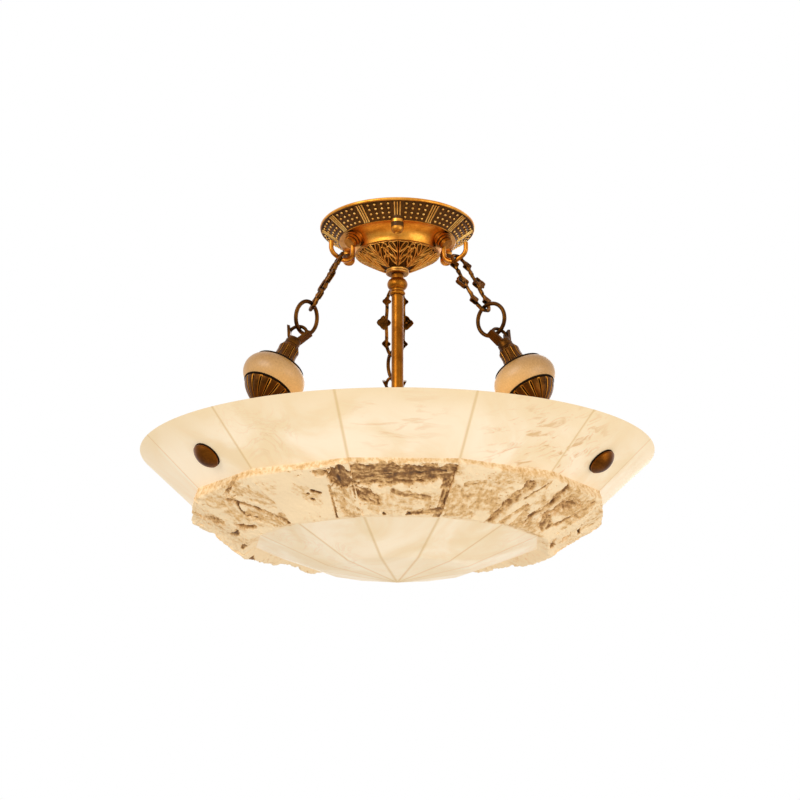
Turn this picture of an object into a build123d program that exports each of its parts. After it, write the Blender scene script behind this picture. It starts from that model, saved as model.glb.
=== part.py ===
from build123d import *
from math import asin, atan2, cos, hypot, radians, sin, tan
import os

# Alabaster bowl pendant, in millimetres.
# The origin is the centre of the ceiling plane, +Z is up and -Y is the front.
# Three hanging lines leave the canopy, 120 degrees apart. Each runs straight down and
# outwards through a hook eye, a long link, a ring, a shackle and a finial.

# ---- Layout
HOOK_AZIMUTHS = (-30.0, 210.0, 90.0)      # right front, left front, back
CAP_NUT_AZIMUTHS = (-91.8, 28.2, 148.2)   # front, right back, left back
LAMP_AZIMUTHS = (-90.0, 30.0, 150.0)
EYE_RADIUS_OUT = 63.3       # hook eye centre, from the axis of the pendant
EYE_DROP = 40.5             # hook eye centre, below the ceiling
HANG_LEAN = 27.2            # hanging line from the vertical
COVE_LEAN = 38.0            # hook shank from the vertical
RUNNING_GAP = 0.3           # play between linked or stacked pieces
CUT_PAST = 1.0              # how far a cut runs past the face that it opens
LINK_TURNS = (-20.0, -10.0, 0.0)      # how each link hangs, about its own line
RING_TURNS = (-13.0, 26.0, 24.0)
SHACKLE_TURNS = (-26.0, 47.0, 0.0)

# ---- Ceiling bracket
BRACKET_T = 3.0
BRACKET_DISC_R = 46.0
BRACKET_ARM_W = 18.0
STUD_CIRCLE_R = 58.5
STUD_R = 2.0
STUD_HEAD_R = 4.0
STUD_HEAD_T = 2.0
SLOT_SPACING = 75.0
SLOT_LENGTH = 12.0
SLOT_WIDTH = 5.2
WIRE_HOLE_R = 9.0
WIRE_HOLE_Y = -26.0

# ---- Canopy dish
CANOPY_R = 79.5
LIP_R = 1.8
FLANGE_R = 72.0             # flat back of the dish, which keeps the lip off the ceiling
FLANGE_H = 2.6
BAND_TOP_R = 75.8
BAND_TOP_Z = -5.6
BAND_FOOT_R = 59.2
BAND_FOOT_Z = -19.4
COVE_TOP_R = 57.6
COVE_FOOT_R = 43.4
COVE_FOOT_Z = -33.0
COVE_DEPTH = 2.6
CANOPY_WALL = 2.4
NUT_SEAT_R = 6.4
NUT_SEAT_Z = -22.0
HOOK_PAD_R = 9.2
HOOK_PAD_IN_R = 7.5
HOOK_PAD_H = 6.9
HOOK_PAD_SINK = 1.3         # from the line between the cove's edges, out to the pad's foot

# ---- Canopy cap nuts
CAP_NUT_R = 6.2
CAP_NUT_SKIRT = 4.6
CAP_NUT_H = 9.4
CAP_NUT_ROUND_IN = 0.7      # where the rounding of the end passes, from the nut's corner
CAP_NUT_ROUND_UP = 1.6
CAP_NUT_DIMPLE_R = 1.6
STUD_IN_NUT = 5.0

# ---- Acanthus boss, ball collar and stem
BOSS_FOOT_R = 11.4
BOSS_FOOT_Z = -51.0
BOSS_RING_H = 3.0
BOSS_BELLY = 0.6
BOSS_WALL = 3.4
COLLAR_NECK_R = 6.5
COLLAR_NECK_H = 4.6
BALL_R = 10.4
BALL_H = 11.6
BALL_NECK_R = 6.9
BALL_NECK_H = 2.0
COLLAR_R = 8.1
COLLAR_H = 4.2
NIPPLE_R = 5.0
NIPPLE_BORE_R = 3.6
NIPPLE_TOP_Z = -23.0
NIPPLE_IN_STEM = 16.0
STEM_R = 6.0
STEM_FOOT_Z = -279.0
SLIDE_GAP = 0.1
LOCK_NUT_R = 9.0
LOCK_NUT_H = 5.0

# ---- Terminal block, earth screw and leads
BLOCK_SIZE = (30.0, 14.0, 11.0)
BLOCK_Y = 22.0
BLOCK_BORE_R = 1.7
EARTH_X = -30.0
EARTH_HEAD_R = 4.0
EARTH_HEAD_H = 2.6
EARTH_SHANK_R = 2.0
EARTH_SLOT_W = 1.2
EARTH_SLOT_DEEP = 0.8
LEAD_R = 1.1
LEAD_OFFSET = 1.6
LEAD_ARCH_Z = -12.0
LEAD_BEND_R = 4.0

# ---- Chain hooks
EYE_R = 10.5                # bend of the hook under the steps
EYE_BAR_R = 2.3
HOOK_MOUTH = 14.3           # the hook's outer limb, from the middle of its bend
HOOK_TIP_UP = 6.8
HOOK_BEND_R = 9.0
HOOK_LIMB_UP = 8.0          # how far the inner limb runs up into the last step
HOOK_STEP_R = (9.0, 7.6, 6.2)
HOOK_STEP_H = (2.7, 2.7, 4.3)
HOOK_SHANK_R = 2.5
HOOK_SHANK_PAST_NUT = 3.5
HOOK_NUT_R = 5.2
HOOK_NUT_H = 4.0

# ---- Chain links and rings
RING_AT = 88.8              # ring centre, along the hanging line from the eye centre
RING_R = 16.0
RING_BAR_R = 2.0
LINK_BAR_R = 1.8
LINK_END_HALF = 5.6         # half width of the bar at the link's ends
LINK_HALF = 9.2             # half width of the bar between the diamonds
LINK_NECK = 20.0            # from the end bar to where the strands run straight
LINK_END_FILLET = 4.6
DIAMOND_AT = 12.2
DIAMOND_HALF = 9.4
SMALL_DIAMOND_AT = 8.8
SMALL_DIAMOND_HALF = 5.2
SMALL_DIAMOND_UP = 23.2
DIAMOND_T = 3.2
DIAMOND_HOLE_R = 1.3
DIAMOND_HOLE_AT = 3.6
LINK_SLOT_HALF = 5.0        # the clear slot kept between the two strands
BEAD_R = 1.7

# ---- Shackles
PIVOT_GAP = 0.8             # play of the ring under the shackle's arch
ARCH_BAR_R = 1.7
ARCH_R = 8.6
PRONG_TIP_HALF = 13.0
PRONG_FOOT_HALF = 6.0
PRONG_T = 3.2
PRONG_W_TIP = 8.4
PRONG_W_FOOT = 9.6
PRONG_TIP_AT = 104.6
SHACKLE_COLLAR_AT = 116.5
SHACKLE_COLLAR_R = 6.6
SHACKLE_COLLAR_H = 2.4
SHACKLE_RING_R = 7.4
SHACKLE_STEP_H = 0.8
PRONG_SINK = 1.5            # how deep the prongs are rooted in the collar

# ---- Finials
CONE_TOP_AT = 124.4
CONE_TOP_R = 8.2
CONE_SHOULDER_R = 9.8
CONE_SHOULDER_DOWN = 3.4
CONE_WAIST_R = 10.4
CONE_FOOT_R = 14.4
CONE_FOOT_H = 2.0
CONE_FLUTES = 12
CONE_FLUTE_R = 1.3
CONE_FLUTE_OUT = 0.3        # from the cone's face out to the middle of a flute
GASKET_R = 24.6
GASKET_T = 1.3
ALABASTER_AT = 151.2
ALABASTER_H = 24.2
ALABASTER_END_R = 24.2
ALABASTER_R = 30.6
CUP_LIP_R = 23.8
CUP_LIP_H = 1.6
CUP_BELLY_R = 18.6
CUP_BELLY_DOWN = 9.0
CUP_NECK_R = 7.6
CUP_H = 19.0
CUP_FLUTES = 16
CUP_FLUTE_R = 1.2
ROD_R = 4.0
CUP_NUT_R = 6.6
CUP_NUT_H = 5.0
ROD_TOP_IN_COLLAR = 4.5

# ---- Bowl
BOWL_PANELS = 13
RIM_R = 250.0
RIM_Z = -248.0
BREAK_RADII = (200.0, 138.5, 72.0)
BREAK_DROPS = (46.1, 85.4, 109.8)
POLE_DROP = 121.7
BOWL_WALL = 12.0
FRONT_PROUD = 5.0           # how far the raw blocks stand out of the profile, at the front
BACK_PROUD = 12.0
PROUD_SHARE = 0.12          # share of a block's face that its bevels take, at each end

# ---- Bowl fixings
PANELS_TO_FIXING = 2        # panels from the front one to each front fixing
FIXING_TURN = 1.8           # degrees that the front fixings stand off the middle of a panel
FIXING_SHARE = 0.32         # of the rim band, from its foot up to the fixing
ROD_HOLE_R = 4.6
ROD_STRAIGHT = 22.0         # straight end of the rod inside the wall
ROD_BEND_R = 18.0
ROD_BELOW_CUP = 8.0
PAD_R = 12.0
PAD_T = 2.0
INNER_NUT_R = 7.4
INNER_NUT_H = 5.0
OUTER_WASHER_R = 13.4
OUTER_WASHER_T = 1.2
DOME_R = 13.0
DOME_H = 7.6
DOME_BASE_H = 1.6
ROD_IN_DOME = 3.6

# ---- Lamp cluster
HUB_R = 16.0
HUB_TOP_Z = -270.0
HUB_H = 30.0
HUB_CAP_R = 11.0
HUB_CAP_H = 10.0
HUB_CAP_EDGE_H = 3.0
HUB_CAP_WAIST_R = 5.0
HUB_CAP_WAIST_H = 6.0
HUB_CAP_TIP_R = 4.4
HUB_EDGE_R = 1.5
HUB_POCKET_R = 8.0
HUB_SCREW_R = 3.0
HUB_SCREW_UP = 8.0
ARM_R = 5.0
ARM_BORE_R = 3.8
ARM_IN_HUB = 4.0
ARM_END = 34.0
HOLDER_R = 13.0
HOLDER_H = 32.0
HOLDER_BORE_R = 8.2
HOLDER_FLOOR = 6.0
HOLDER_LIP = 1.6
HOLDER_LIP_H = 3.0
ARM_IN_HOLDER = 3.0
BULB_CAP_R = 7.6
BULB_CAP_H = 22.0
BULB_R = 22.5
BULB_NECK_R = 9.0
BULB_NECK_END_R = 11.0
BULB_CAP_OUT = 1.0
BULB_REACH = 48.5           # from the holder's mouth to the far end of the glass

# ---- Worked out from the sizes above
LEAN = radians(HANG_LEAN)
COVE = radians(COVE_LEAN)
FIXING_R = BREAK_RADII[0] + FIXING_SHARE * (RIM_R - BREAK_RADII[0])
EYE = Vector(EYE_RADIUS_OUT, 0, -EYE_DROP)
HANG = Plane(origin=EYE, x_dir=(cos(LEAN), 0, sin(LEAN)), z_dir=(-sin(LEAN), 0, cos(LEAN)))
SHANK = Plane(origin=EYE, x_dir=(cos(COVE), 0, sin(COVE)), z_dir=(-sin(COVE), 0, cos(COVE)))
COVE_RUN = atan2(BAND_FOOT_Z - COVE_FOOT_Z, COVE_TOP_R - COVE_FOOT_R)
COVE_AT = ((EYE_RADIUS_OUT - COVE_TOP_R) * sin(COVE_RUN) + (EYE_DROP + BAND_FOOT_Z) * cos(COVE_RUN)) \
    / cos(COVE_RUN - COVE)
HOOK_PAD_FOOT = COVE_AT + HOOK_PAD_SINK
HOOK_PAD_TOP = HOOK_PAD_FOOT + HOOK_PAD_H
HOOK_STEPS_TOP = HOOK_PAD_FOOT - RUNNING_GAP
HOOK_SHANK_TOP = HOOK_PAD_TOP + HOOK_NUT_H + HOOK_SHANK_PAST_NUT
BRACKET_Z = -BRACKET_T
COLLAR_TOP_Z = BOSS_FOOT_Z - BOSS_RING_H - RUNNING_GAP
BALL_TOP_Z = COLLAR_TOP_Z - COLLAR_NECK_H
BALL_FOOT_Z = BALL_TOP_Z - BALL_H
COLLAR_RING_Z = BALL_FOOT_Z - BALL_NECK_H
COLLAR_FOOT_Z = COLLAR_RING_Z - COLLAR_H
CANOPY_FLOOR_Z = COVE_FOOT_Z + CANOPY_WALL
STEM_TOP_Z = COLLAR_FOOT_Z
HUB_FOOT_Z = HUB_TOP_Z - HUB_H
LAMP_Z = HUB_TOP_Z - HUB_H / 2
LINK_TOP_AT = EYE_R - EYE_BAR_R - RUNNING_GAP - LINK_BAR_R
LINK_FOOT_AT = RING_AT - (RING_R - RING_BAR_R - RUNNING_GAP - LINK_BAR_R)
LINK_MID_AT = (LINK_TOP_AT + LINK_FOOT_AT) / 2
LINK_HALF_LENGTH = (LINK_FOOT_AT - LINK_TOP_AT) / 2
ARCH_AT = RING_AT + RING_R - RING_BAR_R - PIVOT_GAP - ARCH_BAR_R
CONE_FOOT_AT = ALABASTER_AT - GASKET_T
ALABASTER_FOOT_AT = ALABASTER_AT + ALABASTER_H
CUP_TOP_AT = ALABASTER_FOOT_AT + GASKET_T
CUP_FOOT_AT = CUP_TOP_AT + CUP_H
STACK_BORE_R = ROD_R + RUNNING_GAP
SEAM_STEP = 360.0 / BOWL_PANELS
SEAM_HALF = radians(SEAM_STEP / 2)
FRONT = -90.0
FRONT_NUT_TURN = PANELS_TO_FIXING * SEAM_STEP
FIXING_AZIMUTHS = (FRONT + FRONT_NUT_TURN + FIXING_TURN, FRONT - FRONT_NUT_TURN + FIXING_TURN, 90.0)
FIXING_OFF_MIDDLE = (FIXING_TURN, FIXING_TURN, SEAM_STEP / 2)  # the back one stands on a seam


def save(name, *solids):
    """Write the solids of one piece, or of one group of equal pieces."""
    shape = solids[0] if len(solids) == 1 else Compound(list(solids))
    export_step(shape, f"parts/{name}.step")


def numbered(name, copies):
    """Write each copy as a piece of its own."""
    for number, copy in enumerate(copies, 1):
        save(f"{name}_{number}", copy)


def around(shape, azimuths):
    """Copies of a shape that stands on the +X side, turned to each azimuth."""
    return [Rot(0, 0, azimuth) * shape for azimuth in azimuths]


def spun(*points):
    """The solid that a closed outline of radius and height sweeps about Z."""
    return revolve(Plane.XZ * make_face(Polyline(*points, close=True)), Axis.Z)


def spun_edges(*edges):
    """The same, from lines and arcs that meet end to end."""
    return revolve(Plane.XZ * make_face(Wire(list(edges))), Axis.Z)


def post(radius, low, high):
    """A round bar about Z from one height to another."""
    return Pos(0, 0, low) * Cylinder(radius, high - low, align=(Align.CENTER, Align.CENTER, Align.MIN))


def hex_post(radius, low, high):
    """A hexagonal bar about Z; the radius is to the corners."""
    return Pos(0, 0, low) * extrude(RegularPolygon(radius, 6), high - low)


def radial(plane, shape):
    """Lay a shape built about Z along a hanging or shank line."""
    return plane * shape


def one(shape):
    """The single solid in a shape."""
    return shape.solids()[0]


# ---- Ceiling bracket
def ceiling_bracket():
    arm = Pos(STUD_CIRCLE_R / 2, 0) * Rectangle(STUD_CIRCLE_R, BRACKET_ARM_W)
    arm += Pos(STUD_CIRCLE_R, 0) * Circle(BRACKET_ARM_W / 2)
    arm -= Pos(STUD_CIRCLE_R, 0) * Circle(STUD_R + SLIDE_GAP)
    plate = Circle(BRACKET_DISC_R) + [Rot(0, 0, a) * arm for a in CAP_NUT_AZIMUTHS]
    slot = SlotOverall(SLOT_LENGTH, SLOT_WIDTH)
    plate -= Pos(SLOT_SPACING / 2, 0) * slot
    plate -= Pos(-SLOT_SPACING / 2, 0) * slot
    plate -= Pos(0, WIRE_HOLE_Y) * Circle(WIRE_HOLE_R)
    plate -= Pos(EARTH_X, BLOCK_Y) * Circle(EARTH_SHANK_R + SLIDE_GAP)
    return one(Pos(0, 0, BRACKET_Z) * extrude(plate, BRACKET_T))


def bracket_stud():
    foot = NUT_SEAT_Z - RUNNING_GAP - STUD_IN_NUT
    stud = post(STUD_R, foot, BRACKET_Z + BRACKET_T)
    stud += post(STUD_HEAD_R, BRACKET_Z - STUD_HEAD_T, BRACKET_Z)
    return Pos(STUD_CIRCLE_R, 0, 0) * stud


# ---- Canopy dish
def canopy_section(inset):
    """Outline of the dish; the inset one is the hollow inside it."""
    top = inset
    lip_r = CANOPY_R - LIP_R
    lip_z = -FLANGE_H - LIP_R
    shelf = -FLANGE_H - inset
    cove_mid = ((COVE_TOP_R + COVE_FOOT_R) / 2 - inset, (BAND_FOOT_Z + COVE_FOOT_Z) / 2 + inset)
    cove_out = (cove_mid[0] - COVE_DEPTH, cove_mid[1] + COVE_DEPTH)
    foot = (COVE_FOOT_R - inset, COVE_FOOT_Z + inset)
    band_top = (BAND_TOP_R - inset, BAND_TOP_Z if inset == 0 else shelf)
    band_foot = (BAND_FOOT_R - inset, BAND_FOOT_Z + inset)
    cove_top = (COVE_TOP_R - inset, BAND_FOOT_Z + inset)
    flange = [Line((0, top), (FLANGE_R - inset, top)), Line((FLANGE_R - inset, top), (FLANGE_R - inset, shelf))]
    if inset == 0:
        rim = [Line((FLANGE_R, shelf), (lip_r, shelf)),
               ThreePointArc((lip_r, shelf), (CANOPY_R, lip_z), (lip_r, lip_z - LIP_R)),
               Line((lip_r, lip_z - LIP_R), band_top)]
    else:
        rim = [Line((FLANGE_R - inset, shelf), band_top)]
    body = [Line(band_top, band_foot), Line(band_foot, cove_top),
            ThreePointArc(cove_top, cove_out, foot),
            Line(foot, (0, foot[1])), Line((0, foot[1]), (0, top))]
    return flange + rim + body


def canopy_dish():
    dish = spun_edges(*canopy_section(0))
    hollow = spun_edges(*canopy_section(CANOPY_WALL))
    seat_top = (BAND_TOP_Z + BAND_FOOT_Z) / 2
    seat = Pos(STUD_CIRCLE_R, 0, 0) * post(NUT_SEAT_R, NUT_SEAT_Z, seat_top)
    pad = post(HOOK_PAD_R, HOOK_PAD_FOOT, HOOK_PAD_FOOT + CANOPY_WALL)
    pad += post(HOOK_PAD_IN_R, HOOK_PAD_FOOT, HOOK_PAD_TOP)
    dish -= hollow
    for seat_copy in around(seat, CAP_NUT_AZIMUTHS):
        dish += seat_copy
    for pad_copy in around(radial(SHANK, pad), HOOK_AZIMUTHS):
        dish += pad_copy
    hole = Pos(STUD_CIRCLE_R, 0, 0) * post(STUD_R + RUNNING_GAP, NUT_SEAT_Z - CUT_PAST, 0)
    hole += Pos(STUD_CIRCLE_R, 0, 0) * post(CAP_NUT_R + RUNNING_GAP, NUT_SEAT_Z - CAP_NUT_H, NUT_SEAT_Z)
    shank_hole = post(HOOK_SHANK_R + SLIDE_GAP, HOOK_PAD_FOOT - CUT_PAST, HOOK_SHANK_TOP)
    shank_hole += post(HOOK_STEP_R[0] + RUNNING_GAP, HOOK_STEPS_TOP - HOOK_STEP_H[0], HOOK_PAD_FOOT)
    shank_hole = radial(SHANK, shank_hole)
    for cut in around(hole, CAP_NUT_AZIMUTHS) + around(shank_hole, HOOK_AZIMUTHS):
        dish -= cut
    return one(dish - post(NIPPLE_R + SLIDE_GAP, COVE_FOOT_Z - CUT_PAST, 0))


def canopy_cap_nut():
    top = NUT_SEAT_Z - RUNNING_GAP
    foot = top - CAP_NUT_H
    edge = CAP_NUT_R - (CAP_NUT_H - CAP_NUT_SKIRT) / 2
    dome = [Line((0, top), (CAP_NUT_R, top)), Line((CAP_NUT_R, top), (CAP_NUT_R, top - CAP_NUT_SKIRT)),
            ThreePointArc((CAP_NUT_R, top - CAP_NUT_SKIRT),
                          (CAP_NUT_R - CAP_NUT_ROUND_IN, foot + CAP_NUT_ROUND_UP), (edge, foot)),
            Line((edge, foot), (0, foot)), Line((0, foot), (0, top))]
    nut = spun_edges(*dome)
    nut -= Pos(0, 0, foot - CAP_NUT_DIMPLE_R / 2) * Sphere(2 * CAP_NUT_DIMPLE_R)
    nut -= post(STUD_R + RUNNING_GAP, top - STUD_IN_NUT - RUNNING_GAP, top + CUT_PAST)
    return one(Pos(STUD_CIRCLE_R, 0, 0) * nut)


# ---- Centre column
def acanthus_boss():
    top_z = COVE_FOOT_Z
    belly = ((COVE_FOOT_R + BOSS_FOOT_R) / 2 + BOSS_BELLY / 2, (top_z + BOSS_FOOT_Z) / 2 - BOSS_BELLY)
    outer = [Line((0, top_z), (COVE_FOOT_R, top_z)),
             ThreePointArc((COVE_FOOT_R, top_z), belly, (BOSS_FOOT_R, BOSS_FOOT_Z)),
             Line((BOSS_FOOT_R, BOSS_FOOT_Z), (BOSS_FOOT_R, BOSS_FOOT_Z - BOSS_RING_H)),
             Line((BOSS_FOOT_R, BOSS_FOOT_Z - BOSS_RING_H), (0, BOSS_FOOT_Z - BOSS_RING_H)),
             Line((0, BOSS_FOOT_Z - BOSS_RING_H), (0, top_z))]
    inner_belly = (belly[0] - BOSS_WALL, belly[1] + BOSS_WALL)
    inner_foot = (BOSS_FOOT_R - BOSS_WALL, BOSS_FOOT_Z + BOSS_WALL / 2)
    inner = [Line((0, top_z), (COVE_FOOT_R - BOSS_WALL, top_z)),
             ThreePointArc((COVE_FOOT_R - BOSS_WALL, top_z), inner_belly, inner_foot),
             Line(inner_foot, (0, inner_foot[1])), Line((0, inner_foot[1]), (0, top_z))]
    boss = spun_edges(*outer) - spun_edges(*inner)
    return one(boss - post(NIPPLE_R + SLIDE_GAP, BOSS_FOOT_Z - 2 * BOSS_RING_H, top_z))


def ball_collar():
    ball_mid = (BALL_TOP_Z + BALL_FOOT_Z) / 2
    edges = [Line((0, COLLAR_TOP_Z), (COLLAR_NECK_R, COLLAR_TOP_Z)),
             Line((COLLAR_NECK_R, COLLAR_TOP_Z), (COLLAR_NECK_R, BALL_TOP_Z)),
             ThreePointArc((COLLAR_NECK_R, BALL_TOP_Z), (BALL_R, ball_mid), (BALL_NECK_R, BALL_FOOT_Z)),
             Line((BALL_NECK_R, BALL_FOOT_Z), (BALL_NECK_R, COLLAR_RING_Z)),
             ThreePointArc((BALL_NECK_R, COLLAR_RING_Z), (COLLAR_R, COLLAR_RING_Z - COLLAR_H / 2),
                           (BALL_NECK_R, COLLAR_FOOT_Z)),
             Line((BALL_NECK_R, COLLAR_FOOT_Z), (0, COLLAR_FOOT_Z)),
             Line((0, COLLAR_FOOT_Z), (0, COLLAR_TOP_Z))]
    return one(spun_edges(*edges) - post(NIPPLE_R + SLIDE_GAP, COLLAR_FOOT_Z - CUT_PAST, COLLAR_TOP_Z + CUT_PAST))


def stem_tube():
    tube = post(STEM_R, STEM_FOOT_Z, STEM_TOP_Z)
    return one(tube - post(NIPPLE_R + SLIDE_GAP, STEM_FOOT_Z - CUT_PAST, STEM_TOP_Z + CUT_PAST))


def stem_nipple():
    foot = STEM_TOP_Z - NIPPLE_IN_STEM
    bore = post(NIPPLE_BORE_R, foot - CUT_PAST, NIPPLE_TOP_Z + CUT_PAST)
    return one(post(NIPPLE_R, foot, NIPPLE_TOP_Z) - bore)


def stem_lock_nut():
    nut = hex_post(LOCK_NUT_R, CANOPY_FLOOR_Z, CANOPY_FLOOR_Z + LOCK_NUT_H)
    return one(nut - post(NIPPLE_R + SLIDE_GAP, COVE_FOOT_Z, 0))


# ---- Wiring
def terminal_block():
    length, width, height = BLOCK_SIZE
    block = Pos(0, BLOCK_Y, BRACKET_Z - height / 2) * Box(length, width, height)
    bore = Plane.XZ * Circle(BLOCK_BORE_R)
    for x in (-length / 3, 0, length / 3):
        block -= Pos(x, BLOCK_Y + width, BRACKET_Z - height / 2) * extrude(bore, 2 * width)
    return one(block)


def earth_screw():
    screw = post(EARTH_HEAD_R, BRACKET_Z - EARTH_HEAD_H, BRACKET_Z)
    screw += post(EARTH_SHANK_R, BRACKET_Z, BRACKET_Z + BRACKET_T)
    slot = Pos(0, 0, BRACKET_Z - EARTH_HEAD_H) * Box(2 * EARTH_HEAD_R, EARTH_SLOT_W, 2 * EARTH_SLOT_DEEP)
    return one(Pos(EARTH_X, BLOCK_Y, 0) * (screw - slot))


def lead(*points):
    """A round lead along a route of straight runs joined by arcs."""
    path = FilletPolyline(*points, radius=LEAD_BEND_R)
    start = Plane(origin=path @ 0, z_dir=path % 0)
    return one(sweep(start * Circle(LEAD_R), path=path))


def lead_wires():
    """Live and neutral run down the stem to the hub; earth stays in the canopy."""
    length, width, height = BLOCK_SIZE
    port_y = BLOCK_Y - width / 2
    port_z = BRACKET_Z - height / 2
    wires = []
    for side in (-1, 1):
        wires.append(lead((side * length / 3, port_y + width / 2, port_z),
                          (side * length / 3, LEAD_BEND_R, port_z),
                          (side * LEAD_OFFSET, 0, LEAD_ARCH_Z),
                          (side * LEAD_OFFSET, 0, HUB_TOP_Z - HUB_H / 4)))
    clear = EARTH_HEAD_R + 2 * LEAD_R
    wires.append(lead((0, BLOCK_Y + width / 4, port_z), (0, BLOCK_Y + width, port_z),
                      (EARTH_X / 2, BLOCK_Y + width, BRACKET_Z - clear),
                      (EARTH_X, BLOCK_Y + clear, BRACKET_Z - EARTH_HEAD_H - LEAD_R - SLIDE_GAP),
                      (EARTH_X, BLOCK_Y, BRACKET_Z - EARTH_HEAD_H - LEAD_R - SLIDE_GAP)))
    return wires


# ---- Chain hooks
def hook_route():
    """Down the inner limb, round the bend that the link hangs in, and up the outer limb."""
    hang = (EYE_R * sin(LEAN), -EYE_R * cos(LEAN))
    low = (-EYE_R * cos(LEAN), -EYE_R * sin(LEAN))
    corner = (HOOK_MOUTH, hang[1] + (HOOK_MOUTH - hang[0]) * tan(LEAN))
    limb = Line((-EYE_R, HOOK_LIMB_UP), (-EYE_R, 0))
    bend = ThreePointArc((-EYE_R, 0), low, hang)
    outer = FilletPolyline(hang, corner, (HOOK_MOUTH, HOOK_TIP_UP), radius=HOOK_BEND_R)
    return Pos(EYE_RADIUS_OUT, 0, -EYE_DROP) * (Plane.XZ * Wire([limb, bend] + outer.edges()))


def chain_hook():
    route = hook_route()
    hook = sweep(Plane(origin=route @ 0, z_dir=route % 0) * Circle(EYE_BAR_R), path=route)
    top = HOOK_STEPS_TOP
    for step_r, height in zip(HOOK_STEP_R, HOOK_STEP_H):
        hook += radial(SHANK, post(step_r, top - height, top))
        top -= height
    return one(hook + radial(SHANK, post(HOOK_SHANK_R, top, HOOK_SHANK_TOP)))


def hook_nut():
    nut = hex_post(HOOK_NUT_R, HOOK_PAD_TOP, HOOK_PAD_TOP + HOOK_NUT_H)
    return one(radial(SHANK, nut - post(HOOK_SHANK_R + SLIDE_GAP, HOOK_PAD_TOP - CUT_PAST, HOOK_SHANK_TOP)))


# ---- Chain links and rings
def diamond(across, up, half, holes):
    """A square plate on its corner, in the plane of the link, with round holes."""
    shape = Rot(0, 0, 45) * Rectangle(half * 2 ** 0.5, half * 2 ** 0.5)
    shape &= Pos((half + LINK_SLOT_HALF - across) / 2, 0) * Rectangle(half - LINK_SLOT_HALF + across, 2 * half)
    for side, high in holes:
        shape -= Pos(side * DIAMOND_HOLE_AT, high * DIAMOND_HOLE_AT) * Circle(DIAMOND_HOLE_R)
    plate = Plane.YZ * Pos(across, up) * extrude(shape, DIAMOND_T / 2, both=True)
    return plate + Pos(0, across, up) * Rot(0, 90, 0) * Cylinder(BEAD_R, DIAMOND_T + BEAD_R)


def chain_link():
    top = LINK_HALF_LENGTH
    neck = top - LINK_NECK
    corners = [(LINK_END_HALF, top), (LINK_HALF, neck), (LINK_HALF, -neck), (LINK_END_HALF, -top),
               (-LINK_END_HALF, -top), (-LINK_HALF, -neck), (-LINK_HALF, neck), (-LINK_END_HALF, top)]
    path = FilletPolyline(*[(0, y, z) for y, z in corners], radius=LINK_END_FILLET, close=True)
    start = Plane(origin=path @ 0, z_dir=path % 0)
    link = sweep(start * Circle(LINK_BAR_R), path=path)
    around_bead = [(0, 1), (0, -1), (1, 0)]
    half_link = diamond(DIAMOND_AT, 0, DIAMOND_HALF, around_bead)
    half_link += diamond(SMALL_DIAMOND_AT, SMALL_DIAMOND_UP, SMALL_DIAMOND_HALF, [])
    half_link += diamond(SMALL_DIAMOND_AT, -SMALL_DIAMOND_UP, SMALL_DIAMOND_HALF, [])
    link += half_link
    link += Rot(0, 0, 180) * half_link
    return one(link)


def hung(shape, at, turn):
    """Place a shape on the hanging line, turned about it."""
    return HANG * Pos(0, 0, -at) * Rot(0, 0, turn) * shape


def each_station(build, at, turns):
    """One copy for each hanging line, turned as it hangs and set at its azimuth."""
    return [one(Rot(0, 0, azimuth) * hung(build, at, turn))
            for azimuth, turn in zip(HOOK_AZIMUTHS, turns)]


# ---- Shackles
def shackle():
    """Built along the hanging line, with its own zero at the ring centre."""
    arch_up = -(ARCH_AT - RING_AT)
    tip_up = -(PRONG_TIP_AT - RING_AT)
    foot_up = -(SHACKLE_COLLAR_AT - RING_AT)
    base_up = -(CONE_TOP_AT - RUNNING_GAP - RING_AT)
    step_up = foot_up - SHACKLE_COLLAR_H
    collar = spun((0, foot_up + PRONG_SINK), (SHACKLE_COLLAR_R, foot_up), (SHACKLE_COLLAR_R, step_up),
                  (SHACKLE_RING_R, step_up - SHACKLE_STEP_H), (SHACKLE_RING_R, base_up), (0, base_up))
    tip = Plane.XY.offset(tip_up) * Pos(0, PRONG_TIP_HALF - PRONG_T / 2) * Rectangle(PRONG_W_TIP, PRONG_T)
    foot = Plane.XY.offset(foot_up - PRONG_SINK) * Pos(0, PRONG_FOOT_HALF - PRONG_T / 2)
    foot *= Rectangle(PRONG_W_FOOT, PRONG_T)
    prong = loft([foot, tip], ruled=True)
    arch = Pos(0, 0, arch_up - ARCH_R) * Rot(0, 90, 0) * Torus(ARCH_R, ARCH_BAR_R)
    arch &= Pos(0, 0, arch_up - ARCH_R / 2) * Box(4 * ARCH_R, 4 * ARCH_R, ARCH_R + 2 * ARCH_BAR_R)
    body = collar + prong + Rot(0, 0, 180) * prong + arch
    bore_top = base_up + ROD_TOP_IN_COLLAR + RUNNING_GAP
    return body - post(STACK_BORE_R, base_up - CUT_PAST, bore_top)


# ---- Finials
def fluted(body, flute, count):
    """Cut equal flutes round a body."""
    return body - [Rot(0, 0, 360.0 * number / count) * flute for number in range(count)]


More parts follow.
